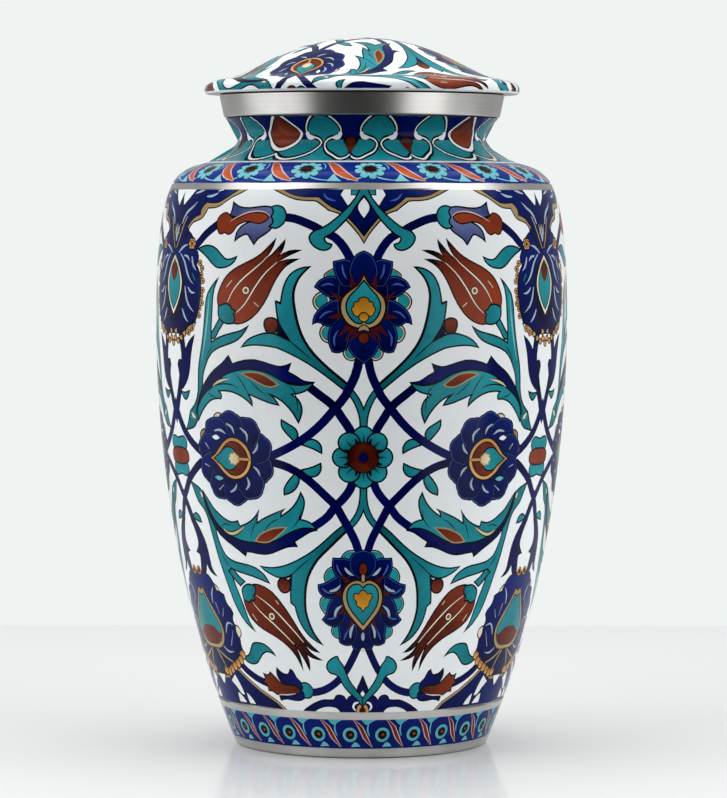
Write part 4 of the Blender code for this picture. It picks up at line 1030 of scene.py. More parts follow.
def weld(mesh, distance=4e-7):
    """Merge doubled points and drop what collapses."""
    solid = bmesh.new()
    solid.from_mesh(mesh)
    bmesh.ops.remove_doubles(solid, verts=solid.verts, dist=distance)
    bmesh.ops.dissolve_degenerate(solid, edges=solid.edges, dist=1e-8)
    bmesh.ops.triangulate(solid, faces=[face for face in solid.faces if len(face.verts) > 3])
    solid.to_mesh(mesh)
    solid.free()


def face_out(mesh):
    """Smooth shading with the turned profile's own normals, so that no triangle shows."""
    corners = np.empty(len(mesh.loops), np.int32)
    mesh.loops.foreach_get("vertex_index", corners)
    places = np.empty(len(mesh.vertices) * 3, np.float32)
    mesh.vertices.foreach_get("co", places)
    places = places.reshape(-1, 3)[corners]
    leans = np.empty(len(mesh.loops), np.float32)
    mesh.attributes["lean"].data.foreach_get("value", leans)
    reach = np.hypot(places[:, 0], places[:, 1])
    reach[reach < 1e-7] = 1
    normals = np.stack([np.cos(leans) * places[:, 0] / reach, np.cos(leans) * places[:, 1] / reach, np.sin(leans)], axis=1)
    mesh.polygons.foreach_set("use_smooth", np.ones(len(mesh.polygons), bool))
    mesh.normals_split_custom_set(normals.tolist())
    mesh.attributes.remove(mesh.attributes["lean"])


def turned_place(angle, radius, height):
    """Points at angles round the urn, counted from the front towards the right."""
    return np.stack([radius * np.sin(angle), -radius * np.cos(angle), np.broadcast_to(height, np.shape(angle))], axis=-1)


# The flat layout of the bake, in the drawing's millimetres, on a square of this side.
LAYOUT_SIDE = 166.0
LAYOUT_MARGIN = 1.5
ROW_TURN = 2 * math.pi


def rolled(skin, sheet, to_angle, to_run, flat, mirror=False, wall=SIDE):
    """Put a flat sheet on the wall; its flat layout stays the same for every repeat."""
    radius, height, lean = wall.at(to_run(sheet.points[:, 1]))
    places = turned_place(to_angle(sheet.points[:, 0]), radius, height)
    triangles = sheet.triangles[:, ::-1] if mirror else sheet.triangles
    tones = sheet.tones[:, ::-1] if mirror else sheet.tones
    corners = flat[:, ::-1] if mirror else flat
    skin.add(places, triangles, sheet.glazes, tones, lean, corners)


def rim_angles(sheets, at, upper):
    """Angles of all border points on a rim, sorted, from a list of (points, to_angle) placings."""
    found = []
    for points, to_angle in sheets:
        rim = points[np.abs(points[:, 1] - at) < 1e-4]
        found.append(to_angle(rim[:, 0]))
    angles = np.sort(np.mod(np.concatenate(found), ROW_TURN))
    apart = np.diff(angles, append=angles[0] + ROW_TURN) > 3e-6
    return angles[apart]


def even_row(count=240):
    return np.arange(count) * ROW_TURN / count


def band(skin, lower, upper, glaze, tone=0.4, layout_row=0.0):
    """Close the stretch between two rings; each is (angles, radius, height, lean)."""
    first, second = lower[0], upper[0]
    points = np.vstack([turned_place(first, lower[1], lower[2]), turned_place(second, upper[1], upper[2])])
    triangles = []
    i = j = 0
    count, other = len(first), len(second)
    while i < count or j < other:
        next_first = first[i + 1] if i + 1 < count else first[0] + ROW_TURN
        next_second = second[j + 1] if j + 1 < other else second[0] + ROW_TURN
        if j >= other or (i < count and next_first <= next_second):
            triangles.append((i % count, (i + 1) % count, count + j % other))
            i += 1
        else:
            triangles.append((i % count, count + (j + 1) % other, count + j % other))
            j += 1
    triangles = np.array(triangles)
    leans = np.concatenate([np.full(count, lower[3]), np.full(other, upper[3])])
    angles = np.concatenate([first, second])
    rows = np.concatenate([np.zeros(count), np.ones(other)])
    across = angles[triangles] / ROW_TURN
    across = np.where(np.ptp(across, axis=1)[:, None] > 0.5, np.where(across < 0.5, 1.0, across), across)
    flat = np.stack([across * 0.99 + 0.005, 0.90 + (layout_row % 12 + rows[triangles] * 0.8) / 130], axis=-1)
    skin.add(points, triangles, GLAZE_ORDER.index(glaze), tone, leans, flat)


def lathe(skin, rows, glaze, tone=0.4):
    """Bands between rings that follow each other; a ring of radius 0 closes to a point."""
    for number, (lower, upper) in enumerate(zip(rows, rows[1:])):
        band(skin, lower, upper, glaze, tone, number)


def rings(profile, count=240, smooth_run=True):
    """Rings of a turned profile; where the run isn't smooth, each stretch keeps its own flat lean."""
    profile = np.array(profile, float)
    if smooth_run and len(profile) > 2:
        ahead = np.gradient(profile, axis=0)
        return [(even_row(count), radius, height, math.atan2(-step[0], step[1]))
                for (radius, height), step in zip(profile, ahead)]
    rows = []
    for start, end in zip(profile, profile[1:]):
        lean = math.atan2(start[0] - end[0], end[1] - start[1])
        rows += [(even_row(count), start[0], start[1], lean), (even_row(count), end[0], end[1], lean)]
    return rows


def ring_on(wall, run, angles):
    radius, height, lean = (float(value) for value in wall.at(run))
    return angles, radius, height, lean


def plain_stretch(skin, lower_angles, upper_angles, lower_run, upper_run, glaze, tone=0.4, steps=4):
    """A plain band of the outer side between two painted ones, sharing their border points."""
    runs = np.linspace(lower_run, upper_run, steps + 1)
    rows = [ring_on(SIDE, run, even_row()) for run in runs]
    rows[0] = ring_on(SIDE, runs[0], lower_angles)
    rows[-1] = ring_on(SIDE, runs[-1], upper_angles)
    lathe(skin, rows, glaze, tone)


def rectangle(left, right, low, high):
    return [(left, low), (right, low), (right, high), (left, high)]


def flat_places(sheet, left, low, scale, corner):
    """Where a sheet's corners lie in the bake's layout, from its own left and low edge."""
    places = (sheet.points[sheet.triangles] - (left, low)) * scale + corner
    return places / LAYOUT_SIDE


# Angles, in radians from the front, at which each half repeat of the field spans. The half that shows at
# the front left is a little wider than the others, and those behind are a little narrower.
FRONT_LEFT_SPAN = math.radians(64.1)
FRONT_RIGHT_SPAN = math.radians(60.0)


def field_placings():
    """For each of the six half repeats: the function from drawing to angle, and whether it is mirrored."""
    behind = (2 * math.pi - FRONT_LEFT_SPAN - FRONT_RIGHT_SPAN) / 4
    angle = FIRST_AXIS / DRAWING_RADIUS
    placings = []
    for number, span in enumerate([FRONT_RIGHT_SPAN] + [behind] * 4 + [FRONT_LEFT_SPAN]):
        mirror = number % 2 == 1

        def to_angle(across, start=angle, span=span, mirror=mirror):
            share = (across - FIRST_AXIS) / HALF_REPEAT
            return start + span * (1 - share if mirror else share)
        placings.append((to_angle, mirror))
        angle += span
    return placings


def repeat_placings(first_degrees, count, width):
    """Placings of a frieze's cell all round."""
    return [(lambda across, k=k: math.radians(first_degrees) + (across / width + k) * ROW_TURN / count, False)
            for k in range(count)]


def neck_placings(first_degrees=7.6):
    """Placings of the neck's half repeat: four whole repeats, each a half and its mirror image."""
    turns = round(180 / NECK_HALF_REPEAT)
    return [(lambda across, k=k, side=side: np.radians(first_degrees + 2 * NECK_HALF_REPEAT * k + side * across), side < 0)
            for k in range(turns) for side in (1, -1)]


def same(run):
    return run


def painted_vessel(field_edges):
    """The whole vessel, painted outside and bare inside and underneath; it stands for the solid body."""
    skin = Skin()
    run = RUNS
    sheets = {
        "field": (settle(FIELD_PATCHES, FIELD_BORDER, "white", *field_edges, added_border=False), field_placings(), same),
        "foot": (settle(foot_frieze(), rectangle(0, FOOT_CELL, run["foot band"], run["foot frieze"]), "cobalt"),
                 repeat_placings(-4.5 - 3.2 / FOOT_CELL * 360 / FOOT_FRIEZE_REPEATS, FOOT_FRIEZE_REPEATS, FOOT_CELL), same),
        "shoulder": (settle(shoulder_frieze(), rectangle(0, SHOULDER_CELL, run["shoulder band"], run["shoulder frieze"]),
                            "frieze blue"),
                     repeat_placings(2.6 - 3.0 / SHOULDER_CELL * 360 / SHOULDER_FRIEZE_REPEATS, SHOULDER_FRIEZE_REPEATS,
                                     SHOULDER_CELL), same),
        "neck": (settle(neck_painting(), rectangle(0, NECK_HALF_REPEAT, LIGHT_LINE_TOP, MOUTH[1]), "navy"),
                 neck_placings(), SIDE.run_at_height)}
    layout = {"foot": (0, run["foot band"], 1.3, (2, 106)), "shoulder": (0, run["shoulder band"], 1.3, (22, 106)),
              "neck": (0, LIGHT_LINE_TOP, 1.9, (58, 106))}
    for name, (sheet, placings, to_run) in sheets.items():
        if name == "field":
            flat = field_layout(sheet)
        else:
            flat = flat_places(sheet, *layout[name])
        for to_angle, mirror in placings:
            rolled(skin, sheet, to_angle, to_run, flat, mirror)
    rims = {(name, side): rim_angles([(sheet.points, to_angle) for to_angle, _ in placings],
                                     sheet.points[:, 1].min() if side == "low" else sheet.points[:, 1].max(), side)
            for name, (sheet, placings, _) in sheets.items() for side in ("low", "high")}
    plain_stretch(skin, even_row(), rims["foot", "low"], run["edge"], run["foot band"], "bare metal")
    plain_stretch(skin, rims["foot", "high"], rims["field", "low"], run["foot frieze"], run["lower band"], "bare metal")
    plain_stretch(skin, rims["field", "high"], rims["shoulder", "low"], run["field"], run["shoulder band"], "bare metal", steps=6)
    plain_stretch(skin, rims["shoulder", "high"], rims["neck", "low"], run["shoulder frieze"], run["light line"], "pale line", steps=2)
    edge = SIDE.at(run["edge"])
    lathe(skin, rings([(0, FOOT_RECESS), (FOOT_RING_INSIDE, FOOT_RECESS), (FOOT_RING_INSIDE, 0), (FOOT[0] - FOOT_ROUNDING, 0)],
                      smooth_run=False), "bare metal")
    lathe(skin, rings([(FOOT[0] - FOOT_ROUNDING, 0), (float(edge[0]), FOOT_ROUNDING)], smooth_run=False), "bare metal")
    inner_mouth = MOUTH[0] - WALL_THICKNESS
    mouth_rim = (rims["neck", "high"], MOUTH[0], MOUTH[1], math.pi / 2)
    lathe(skin, [mouth_rim, (even_row(LINING_CORNERS), inner_mouth, MOUTH[1], math.pi / 2)], "bare metal")
    floor = FOOT_RECESS + WALL_THICKNESS
    runs = np.linspace(run["mouth"] - 2.0, SIDE.run_at_height(floor + WALL_THICKNESS), 48)
    radius, height, lean = SIDE.at(runs)
    lining = np.stack([radius - WALL_THICKNESS * np.cos(lean), height - WALL_THICKNESS * np.sin(lean)], axis=1)
    lining = np.vstack([[(inner_mouth, MOUTH[1])], lining[lining[:, 1] < MOUTH[1] - 0.5]])
    floor_edge = lining[-1, 0] - 2.0
    lathe(skin, rings(lining, LINING_CORNERS), "bare metal")
    lathe(skin, rings([lining[-1], (floor_edge, floor), (0, floor)], LINING_CORNERS, smooth_run=False), "bare metal")
    return finished(skin.piece("painted_vessel", VESSEL_GLAZES), "body")


def field_layout(sheet):
    """The field's half repeat in the bake's layout, cut in two so that it fills the square better."""
    middle = (FIELD_BORDER[0][1] + FIELD_BORDER[2][1]) / 2
    corners = sheet.points[sheet.triangles]
    upper = corners[:, :, 1].mean(axis=1) > middle
    places = corners - (FIRST_AXIS, FIELD_BORDER[0][1] - LAYOUT_MARGIN)
    places[upper] = corners[upper] - (FIRST_AXIS, middle - 2 * LAYOUT_MARGIN)
    places[upper, :, 0] += HALF_REPEAT + 2 * LAYOUT_MARGIN
    places[:, :, 0] += LAYOUT_MARGIN
    return places / LAYOUT_SIDE


def finished(piece, node):
    """Every piece rides on the one body and stands for its solid."""
    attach(piece, "root")
    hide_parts(node)
    return piece


# Collar: a bare turned ring with a bright lower and upper edge, and a spigot down into the throat.

COLLAR_FOOT, COLLAR_TOP = 236.5, 245.0
COLLAR_FOOT_RADIUS, COLLAR_TOP_RADIUS = 52.0, 53.8
COLLAR_ROUNDING = 0.8
COLLAR_BORE = 41.9
SPIGOT_RADIUS = 43.9
EDGE_BREAK = 0.25
CREASE = math.radians(25)


def turning_tree():
    """Geometry Nodes that carry a profile, a closed line of radius and height, once round into a ring."""
    tree = bpy.data.node_groups.new("turned ring", "GeometryNodeTree")
    for title, kind in (("Profile", "Geometry"), ("Rail radius", "Float"), ("Corners round", "Int"),
                        ("Finish", "Material")):
        tree.interface.new_socket(title, in_out="INPUT", socket_type=f"NodeSocket{kind}")
    tree.interface.new_socket("Ring", in_out="OUTPUT", socket_type="NodeSocketGeometry")
    given = node(tree, "NodeGroupInput")
    section = node(tree, "GeometryNodeMeshToCurve", {"Mesh": given.outputs["Profile"]})
    rail = node(tree, "GeometryNodeCurvePrimitiveCircle", {"Resolution": given.outputs["Corners round"],
                                                           "Radius": given.outputs["Rail radius"]})
    ring = node(tree, "GeometryNodeCurveToMesh", {"Curve": rail.outputs["Curve"], "Profile Curve": section.outputs["Curve"]})
    whole = node(tree, "GeometryNodeRealizeInstances", {"Geometry": ring.outputs["Mesh"]})
    dressed = node(tree, "GeometryNodeSetMaterial", {"Geometry": whole.outputs["Geometry"],
                                                     "Material": given.outputs["Finish"]})
    node(tree, "NodeGroupOutput", {"Ring": dressed.outputs["Geometry"]})
    return tree


def turned_ring(name, profile, rail_radius, corners_round, finish):
    """A ring turned from a closed profile of (radius, height) points that run up its outer side, as a plain mesh."""
    line = bpy.data.meshes.new(name)
    places = [((radius - rail_radius) * MM, -height * MM, 0) for radius, height in profile[::-1]]
    line.from_pydata(places, closed_edges(0, len(places)), [])
    piece = bpy.data.objects.new(name, line)
    bpy.context.scene.collection.objects.link(piece)
    tree = turning_tree()
    turning = piece.modifiers.new("turning", "NODES")
    turning.node_group = tree
    values = {"Rail radius": rail_radius * MM, "Corners round": corners_round, "Finish": finish}
    for socket in tree.interface.items_tree:
        if socket.name in values:
            turning[socket.identifier] = values[socket.name]
    ring = bpy.data.meshes.new_from_object(piece.evaluated_get(bpy.context.evaluated_depsgraph_get()))
    piece.modifiers.remove(turning)
    piece.data = ring
    ring.shade_smooth()
    ring.set_sharp_from_angle(angle=CREASE)
    return piece


def turned_collar():
    spread = (COLLAR_TOP_RADIUS - COLLAR_FOOT_RADIUS) / (COLLAR_TOP - COLLAR_FOOT)
    lower = (COLLAR_FOOT_RADIUS + spread * COLLAR_ROUNDING, COLLAR_FOOT + COLLAR_ROUNDING)
    rounding = bezier((COLLAR_FOOT_RADIUS - COLLAR_ROUNDING, COLLAR_FOOT), lower, (0.6, 0.0), (0.1, 0.6), 8)
    upper = (COLLAR_TOP_RADIUS - spread * EDGE_BREAK, COLLAR_TOP - EDGE_BREAK)
    side = bezier(lower, upper, (0.3, 0.3), (0.3, 0.3), 6)
    inside_and_spigot = [(COLLAR_TOP_RADIUS - 2 * EDGE_BREAK, COLLAR_TOP), (COLLAR_BORE, COLLAR_TOP),
                         (COLLAR_BORE, THROAT[1]), (SPIGOT_RADIUS, THROAT[1]), (SPIGOT_RADIUS, COLLAR_FOOT)]
    profile = joined(rounding, side, inside_and_spigot)
    piece = turned_ring("turned_collar", profile, COLLAR_FOOT_RADIUS, 240, MATERIALS["bare metal"])
    return finished(piece, "neck_ring")


# Lid: the field's painting a little smaller, laid over the dome and down over the brim.

LID_SEAT = 245.3
BRIM_RADIUS = 59.4
BRIM_EDGE_TOP = 247.3
BRIM_CHAMFER = 0.7
DOME_FOOT = (50.0, 251.3)
DOME_TOP = (0.0, 266.7)
LID_WALL = 2.5
SKIRT_RADIUS, SKIRT_BORE, SKIRT_FOOT = 41.5, 39.3, 236.3
LID_PATTERN_SCALE = 0.87
LID_PATTERN_TURN = math.radians(-17)
LID_PATTERN_FROM = (49.5, 115.4)
LID_PATTERN_TO = (-21.3, -38.0)

LID_TOP = Wall(joined(
    bezier(DOME_TOP, DOME_FOOT, (0.54, 0.0), (0.18, 0.11)),
    bezier(DOME_FOOT, (BRIM_RADIUS, BRIM_EDGE_TOP), (0.63, 0.16), (0.0, 0.52)),
    [(BRIM_RADIUS, BRIM_EDGE_TOP), (BRIM_RADIUS, LID_SEAT + BRIM_CHAMFER)])[::-1])
LID_REACH = float(LID_TOP.runs[-1])


def lid_axes():
    """Directions on the lid of the field's across and up, as seen from above with the front below."""
    up = np.array([math.cos(LID_PATTERN_TURN), math.sin(LID_PATTERN_TURN)])
    across = np.array([up[1], -up[0]])
    return across * LID_PATTERN_SCALE, up * LID_PATTERN_SCALE


def to_field(places):
    """Where a place on the lid's plan lies in the field's half repeat, which is mirrored at its edges."""
    across, up = lid_axes()
    away = (places - LID_PATTERN_TO) / LID_PATTERN_SCALE**2
    x = away @ across + LID_PATTERN_FROM[0] - FIRST_AXIS
    y = away @ up + LID_PATTERN_FROM[1]
    x = np.mod(x, 2 * HALF_REPEAT)
    x = FIRST_AXIS + np.where(x > HALF_REPEAT, 2 * HALF_REPEAT - x, x)
    top = FIELD_BORDER[2][1]
    return np.stack([x, np.where(y > top, 2 * top - y, y)], axis=1)


def lid_edges(points, lines):
    """The field's colour edges, mirrored on to its neighbours and laid on the lid's plan."""
    across, up = lid_axes()
    all_points, all_lines = [], []
    top = FIELD_BORDER[2][1]
    for shift in (-2, 0, 2):
        for side in (1, -1):
            for flip in (False, True):
                x = FIRST_AXIS + side * (points[:, 0] - FIRST_AXIS) + shift * HALF_REPEAT
                y = 2 * top - points[:, 1] if flip else points[:, 1]
                plan = (np.array(LID_PATTERN_TO) + np.outer(x - LID_PATTERN_FROM[0], across)
                        + np.outer(y - LID_PATTERN_FROM[1], up))
                near = np.hypot(*plan.T) < LID_REACH + 3
                kept = lines[near[lines].all(axis=1)]
                if len(kept):
                    used, numbers = np.unique(kept, return_inverse=True)
                    all_lines.append(numbers.reshape(-1, 2) + sum(len(part) for part in all_points))
                    all_points.append(plan[used])
    return np.vstack(all_points), np.vstack(all_lines)


def open_corners(sheet):
    """Which points of a flat sheet lie on its open edge."""
    sides = np.sort(np.vstack([sheet.triangles[:, [a, b]] for a, b in ((0, 1), (1, 2), (2, 0))]), axis=1)
    sides, counts = np.unique(sides, axis=0, return_counts=True)
    on_edge = np.zeros(len(sheet.points), bool)
    on_edge[sides[counts == 1]] = True
    return on_edge


def painted_lid(field_edges):
    skin = Skin()
    angles = even_row()
    border = np.stack([LID_REACH * np.sin(angles), -LID_REACH * np.cos(angles)], axis=1)
    patches = [patch._replace(glaze="gold") if patch.glaze == "gilt" else patch for patch in FIELD_PATCHES]
    sheet = settle(patches, border, "white", *lid_edges(*field_edges), fold=to_field)
    out = np.hypot(*sheet.points.T)
    rim = open_corners(sheet) & (out > LID_REACH - 0.02)
    sheet.points[rim] *= (LID_REACH / out[rim])[:, None]
    out[rim] = LID_REACH
    angle = np.arctan2(sheet.points[:, 0], -sheet.points[:, 1])
    radius, height, lean = LID_TOP.at(LID_REACH - out)
    flat = (sheet.points[sheet.triangles] + LID_REACH + LAYOUT_MARGIN) / ((LID_REACH + LAYOUT_MARGIN) * 2.26)
    skin.add(turned_place(angle, radius, height), sheet.triangles, sheet.glazes, sheet.tones, lean, flat)
    rim_row = np.sort(np.mod(angle[rim], ROW_TURN))
    rim_row = rim_row[np.diff(rim_row, append=rim_row[0] + ROW_TURN) > 3e-6]
    dome = Wall(bezier(DOME_TOP, DOME_FOOT, (0.54, 0.0), (0.18, 0.11))[::-1])
    radius, height, lean = dome.at(np.linspace(dome.runs[-1], 0, 40))
    hollow = np.stack([radius - LID_WALL * np.cos(lean), height - LID_WALL * np.sin(lean)], axis=1)
    hollow = hollow[(hollow[:, 0] < SKIRT_BORE - 0.5)]
    hollow[0, 0] = 0
    hollow = np.vstack([hollow, [(SKIRT_BORE, hollow[-1, 1] - 0.25)]])
    chamfer = (BRIM_RADIUS - BRIM_CHAMFER, LID_SEAT)
    lathe(skin, rings(hollow), "bare metal")
    lathe(skin, rings([hollow[-1], (SKIRT_BORE, SKIRT_FOOT), (SKIRT_RADIUS, SKIRT_FOOT), (SKIRT_RADIUS, LID_SEAT), chamfer],
                      smooth_run=False), "bare metal")
    lathe(skin, [(even_row(), *chamfer, -math.pi / 4), (rim_row, BRIM_RADIUS, LID_SEAT + BRIM_CHAMFER, -0.3)], "white", 0.5)
    return finished(skin.piece("painted_lid", VESSEL_GLAZES), "lid")


# Finishes. Each glaze has an sRGB colour where it lies thin and one where it pools deep.

GLAZES = {
    "white": ("#F5F8F9", "#DDE3E7"), "pale line": ("#E6EAEC", "#C9CED2"), "navy": ("#001470", "#00011C"),
    "cobalt": ("#00207E", "#00022A"), "frieze blue": ("#173698", "#081356"), "turquoise": ("#249EAA", "#003844"),
    "seafoam": ("#8CCBCE", "#3E979E"), "aqua": ("#94D4D8", "#4AA8B4"), "tomato": ("#A04224", "#260000"),
    "coral": ("#D2683C", "#8E2E18"), "umber": ("#4A1410", "#120204"), "violet": ("#7A85B4", "#16225F"),
    "haze": ("#4A6AB0", "#223F8C"), "mist": ("#B4C4D2", "#7E90A8"), "pewter": ("#A4AFB8", "#76828E"),
    "gilt": ("#BBA377", "#7C6132"), "gold": ("#D4982C", "#84450A"), "amber": ("#DBA766", "#94592A"), "ivory": ("#EFE9D6", "#C6B888"),
    "blush": ("#E3C9C6", "#C79A97"), "moss": ("#8A9A5A", "#4A5A2A"), "ink": ("#030A10", "#010206")}
GLAZE_ORDER = list(GLAZES) + ["bare metal"]
VESSEL_GLAZES = GLAZE_ORDER
MATERIALS = {}


def linear(colour):
    """Scene colour of an sRGB hex value."""
    parts = [int(colour[k:k + 2], 16) / 255 for k in (1, 3, 5)]
    return tuple(part / 12.92 if part <= 0.04045 else ((part + 0.055) / 1.055)**2.4 for part in parts) + (1.0,)


def node(tree, kind, links=None, **settings):
    """Add a node; settings are its own properties, and links are socket values or other nodes' outputs."""
    made = tree.nodes.new(kind)
    for name, value in settings.items():
        setattr(made, name, value)
    for socket, value in (links or {}).items():
        if isinstance(value, bpy.types.NodeSocket):
            tree.links.new(value, made.inputs[socket])
        else:
            made.inputs[socket].default_value = value
    return made


def glazed_enamel(name, thin, deep):
    """Vitreous enamel, painted by brush and fired: colour that pools, a glassy even gloss, a faint waviness."""
    material = bpy.data.materials.new(f"{name} glaze, painted and fired enamel")
    material.use_nodes = True
    tree = material.node_tree
    tree.nodes.clear()
    place = node(tree, "ShaderNodeTexCoord")
    depth = node(tree, "ShaderNodeAttribute", attribute_name="depth")
    pools = node(tree, "ShaderNodeTexNoise", {"Vector": place.outputs["Object"], "Scale": 1 / (14 * MM), "Detail": 3.0})
    strokes = node(tree, "ShaderNodeTexNoise", {"Vector": place.outputs["Object"], "Scale": 1 / (2.2 * MM), "Detail": 2.0})
    mottle = node(tree, "ShaderNodeMath", {0: pools.outputs["Fac"], 1: 0.4, 2: -0.2}, operation="MULTIPLY_ADD")
    grain = node(tree, "ShaderNodeMath", {0: strokes.outputs["Fac"], 1: 0.25, 2: -0.125}, operation="MULTIPLY_ADD")
    varied = node(tree, "ShaderNodeMath", {0: depth.outputs["Fac"], 1: mottle.outputs[0]}, operation="ADD")
    total = node(tree, "ShaderNodeMath", {0: varied.outputs[0], 1: grain.outputs[0]}, operation="ADD", use_clamp=True)
    colour = node(tree, "ShaderNodeMix", {"Factor": total.outputs[0], "A": linear(thin), "B": linear(deep)}, data_type="RGBA")
    waves = node(tree, "ShaderNodeTexNoise", {"Vector": place.outputs["Object"], "Scale": 1 / (9 * MM), "Detail": 1.0})
    bump = node(tree, "ShaderNodeBump", {"Height": waves.outputs["Fac"], "Strength": 0.05, "Distance": 1.0 * MM})
    shader = node(tree, "ShaderNodeBsdfPrincipled", {"Base Color": colour.outputs["Result"], "Roughness": 0.16,
                                                     "IOR": 1.16, "Normal": bump.outputs["Normal"]})
    output = node(tree, "ShaderNodeOutputMaterial")
    tree.links.new(shader.outputs["BSDF"], output.inputs["Surface"])
    return material


def brushed_metal():
    """Aluminium, turned and brushed round: a soft satin grey with fine lines along the turning."""
    material = bpy.data.materials.new("aluminium, turned and brushed")
    material.use_nodes = True
    tree = material.node_tree
    tree.nodes.clear()
    place = node(tree, "ShaderNodeTexCoord")
    parts = node(tree, "ShaderNodeSeparateXYZ", {"Vector": place.outputs["Object"]})
    flat = node(tree, "ShaderNodeCombineXYZ", {"X": parts.outputs["X"], "Y": parts.outputs["Y"]})
    reach = node(tree, "ShaderNodeVectorMath", {0: flat.outputs[0]}, operation="LENGTH")
    turning = node(tree, "ShaderNodeCombineXYZ", {"X": reach.outputs["Value"], "Z": parts.outputs["Z"]})
    lines = node(tree, "ShaderNodeTexNoise", {"Vector": turning.outputs[0], "Scale": 1 / (0.5 * MM), "Detail": 3.0})
    smudges = node(tree, "ShaderNodeTexNoise", {"Vector": place.outputs["Object"], "Scale": 1 / (12 * MM), "Detail": 2.0})
    mixed = node(tree, "ShaderNodeMath", {0: lines.outputs["Fac"], 1: smudges.outputs["Fac"]}, operation="MULTIPLY")
    colour = node(tree, "ShaderNodeMix", {"Factor": mixed.outputs[0], "A": linear("#C2C1BE"), "B": linear("#84837F")},
                  data_type="RGBA")
    rough = node(tree, "ShaderNodeMath", {0: lines.outputs["Fac"], 1: 0.16, 2: 0.24}, operation="MULTIPLY_ADD")
    bump = node(tree, "ShaderNodeBump", {"Height": lines.outputs["Fac"], "Strength": 0.12, "Distance": 0.1 * MM})
    shader = node(tree, "ShaderNodeBsdfPrincipled", {"Base Color": colour.outputs["Result"], "Metallic": 1.0,
                                                     "Roughness": rough.outputs[0], "Normal": bump.outputs["Normal"]})
    output = node(tree, "ShaderNodeOutputMaterial")
    tree.links.new(shader.outputs["BSDF"], output.inputs["Surface"])
    return material


# Camera, floor and light.

CAMERA_PLACE = (0.0, -1.450, 0.2053)
CAMERA_PITCH = math.radians(2.965)
CAMERA_YAW = math.radians(-0.03)
CAMERA_ROLL = math.radians(0.09)
CAMERA_LENS = 172.8
TABLE_BACK = 0.395
TABLE_FRONT = -0.17


def set_camera():
    camera = bpy.data.cameras.new("camera")
    camera.lens = CAMERA_LENS
    camera.sensor_width = 36.0
    camera.clip_start = 0.05
    holder = bpy.data.objects.new("camera", camera)
    holder.location = CAMERA_PLACE
    turn = (Matrix.Rotation(CAMERA_YAW, 3, "Z") @ Matrix.Rotation(math.pi / 2 - CAMERA_PITCH, 3, "X")
            @ Matrix.Rotation(CAMERA_ROLL, 3, "Z"))
    holder.rotation_euler = turn.to_euler()
    bpy.context.scene.collection.objects.link(holder)
    bpy.context.scene.camera = holder


def plain_surface(name, corners, colour, roughness):
    mesh = bpy.data.meshes.new(name)
    mesh.from_pydata(corners, [], [(0, 1, 2, 3)])
    material = bpy.data.materials.new(name)
    material.use_nodes = True
    shader = material.node_tree.nodes["Principled BSDF"]
    shader.inputs["Base Color"].default_value = linear(colour)
    shader.inputs["Roughness"].default_value = roughness
    mesh.materials.append(material)
    stage = bpy.data.objects.new(name, mesh)
    bpy.context.scene.collection.objects.link(stage)


def soft_light(name, place, aim, size, power):
    """A rectangular soft light at a place, facing a point."""
    light = bpy.data.lights.new(name, "AREA")
    light.shape = "RECTANGLE"
    light.size, light.size_y = size
    light.energy = power
    holder = bpy.data.objects.new(name, light)
    holder.location = place
    holder.rotation_euler = (Vector(place) - Vector(aim)).to_track_quat("Z", "Y").to_euler()
    bpy.context.scene.collection.objects.link(holder)


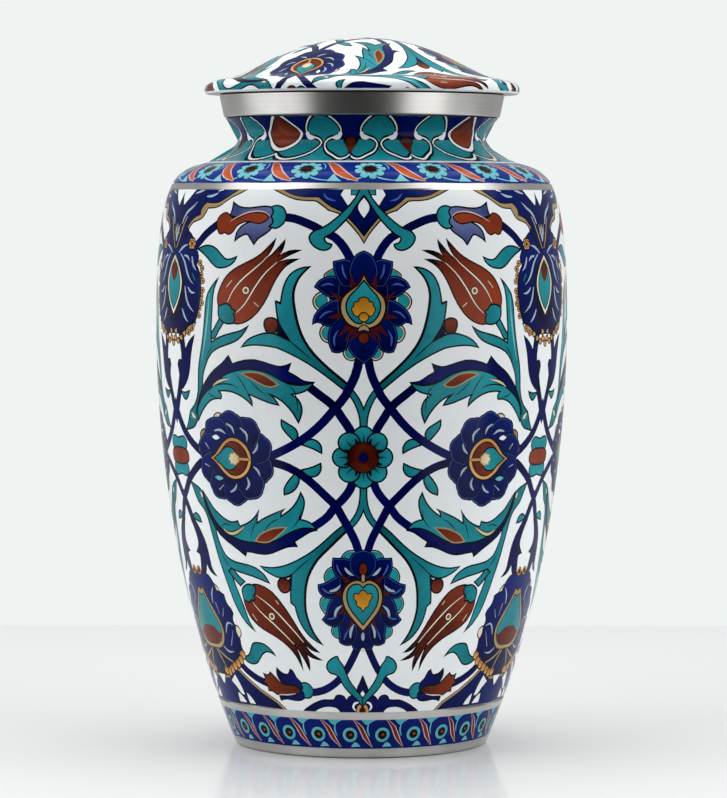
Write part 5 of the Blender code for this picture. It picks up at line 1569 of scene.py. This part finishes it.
def studio_world():
    """Pale wherever the camera looks; as light it is dim towards the front and pale at the sides and behind."""
    world = bpy.data.worlds.new("studio")
    world.use_nodes = True
    tree = world.node_tree
    tree.nodes.clear()
    towards = node(tree, "ShaderNodeTexCoord")
    parts = node(tree, "ShaderNodeSeparateXYZ", {"Vector": towards.outputs["Generated"]})
    raised = node(tree, "ShaderNodeMath", {0: parts.outputs["Z"], 1: 0.9, 2: parts.outputs["Y"]}, operation="MULTIPLY_ADD")
    strength = node(tree, "ShaderNodeMapRange", {"Value": raised.outputs[0], "From Min": -0.85, "From Max": 0.1,
                                                 "To Min": 0.05, "To Max": 0.56}, interpolation_type="SMOOTHSTEP")
    light = node(tree, "ShaderNodeBackground", {"Color": linear("#F4F5F5"), "Strength": strength.outputs["Result"]})
    seen = node(tree, "ShaderNodeBackground", {"Color": linear("#EFF3F1"), "Strength": 1.0})
    path = node(tree, "ShaderNodeLightPath")
    mixed = node(tree, "ShaderNodeMixShader", {0: path.outputs["Is Camera Ray"], 1: light.outputs[0], 2: seen.outputs[0]})
    output = node(tree, "ShaderNodeOutputWorld")
    tree.links.new(mixed.outputs[0], output.inputs["Surface"])
    bpy.context.scene.world = world


def set_stage():
    """A pale polished table, soft panels high at both sides, and low ones for the metal's bright stretches."""
    reach = 1.8
    plain_surface("pale_floor", [(-reach, TABLE_FRONT, 0), (reach, TABLE_FRONT, 0), (reach, TABLE_BACK, 0),
                                 (-reach, TABLE_BACK, 0)], "#FBFCFC", 0.12)
    studio_world()
    bpy.context.scene.view_settings.view_transform = "Standard"
    middle = (0, 0, 0.13)
    soft_light("left high panel", (-0.95, -0.42, 1.15), middle, (1.2, 0.8), 8.2)
    soft_light("right high panel", (0.95, -0.42, 1.15), middle, (1.2, 0.8), 7.2)
    soft_light("left side panel", (-1.1, -0.34, -0.05), middle, (1.2, 0.6), 4.2)
    soft_light("right side panel", (0.93, -0.68, -0.05), middle, (0.8, 0.6), 3.4)
    soft_light("top panel", (0, 0.3, 1.4), middle, (1.4, 0.8), 10)


FIELD_BORDER = rectangle(FIRST_AXIS, SECOND_AXIS, RUNS["lower band"], RUNS["field"])
FIELD_PATCHES = field_painting()

set_camera()
set_stage()
for glaze_name, (thin_colour, deep_colour) in GLAZES.items():
    MATERIALS[glaze_name] = glazed_enamel(glaze_name, thin_colour, deep_colour)
MATERIALS["bare metal"] = brushed_metal()
field_edges = colour_edges(FIELD_PATCHES, FIELD_BORDER)
painted_vessel(field_edges)
turned_collar()
painted_lid(field_edges)
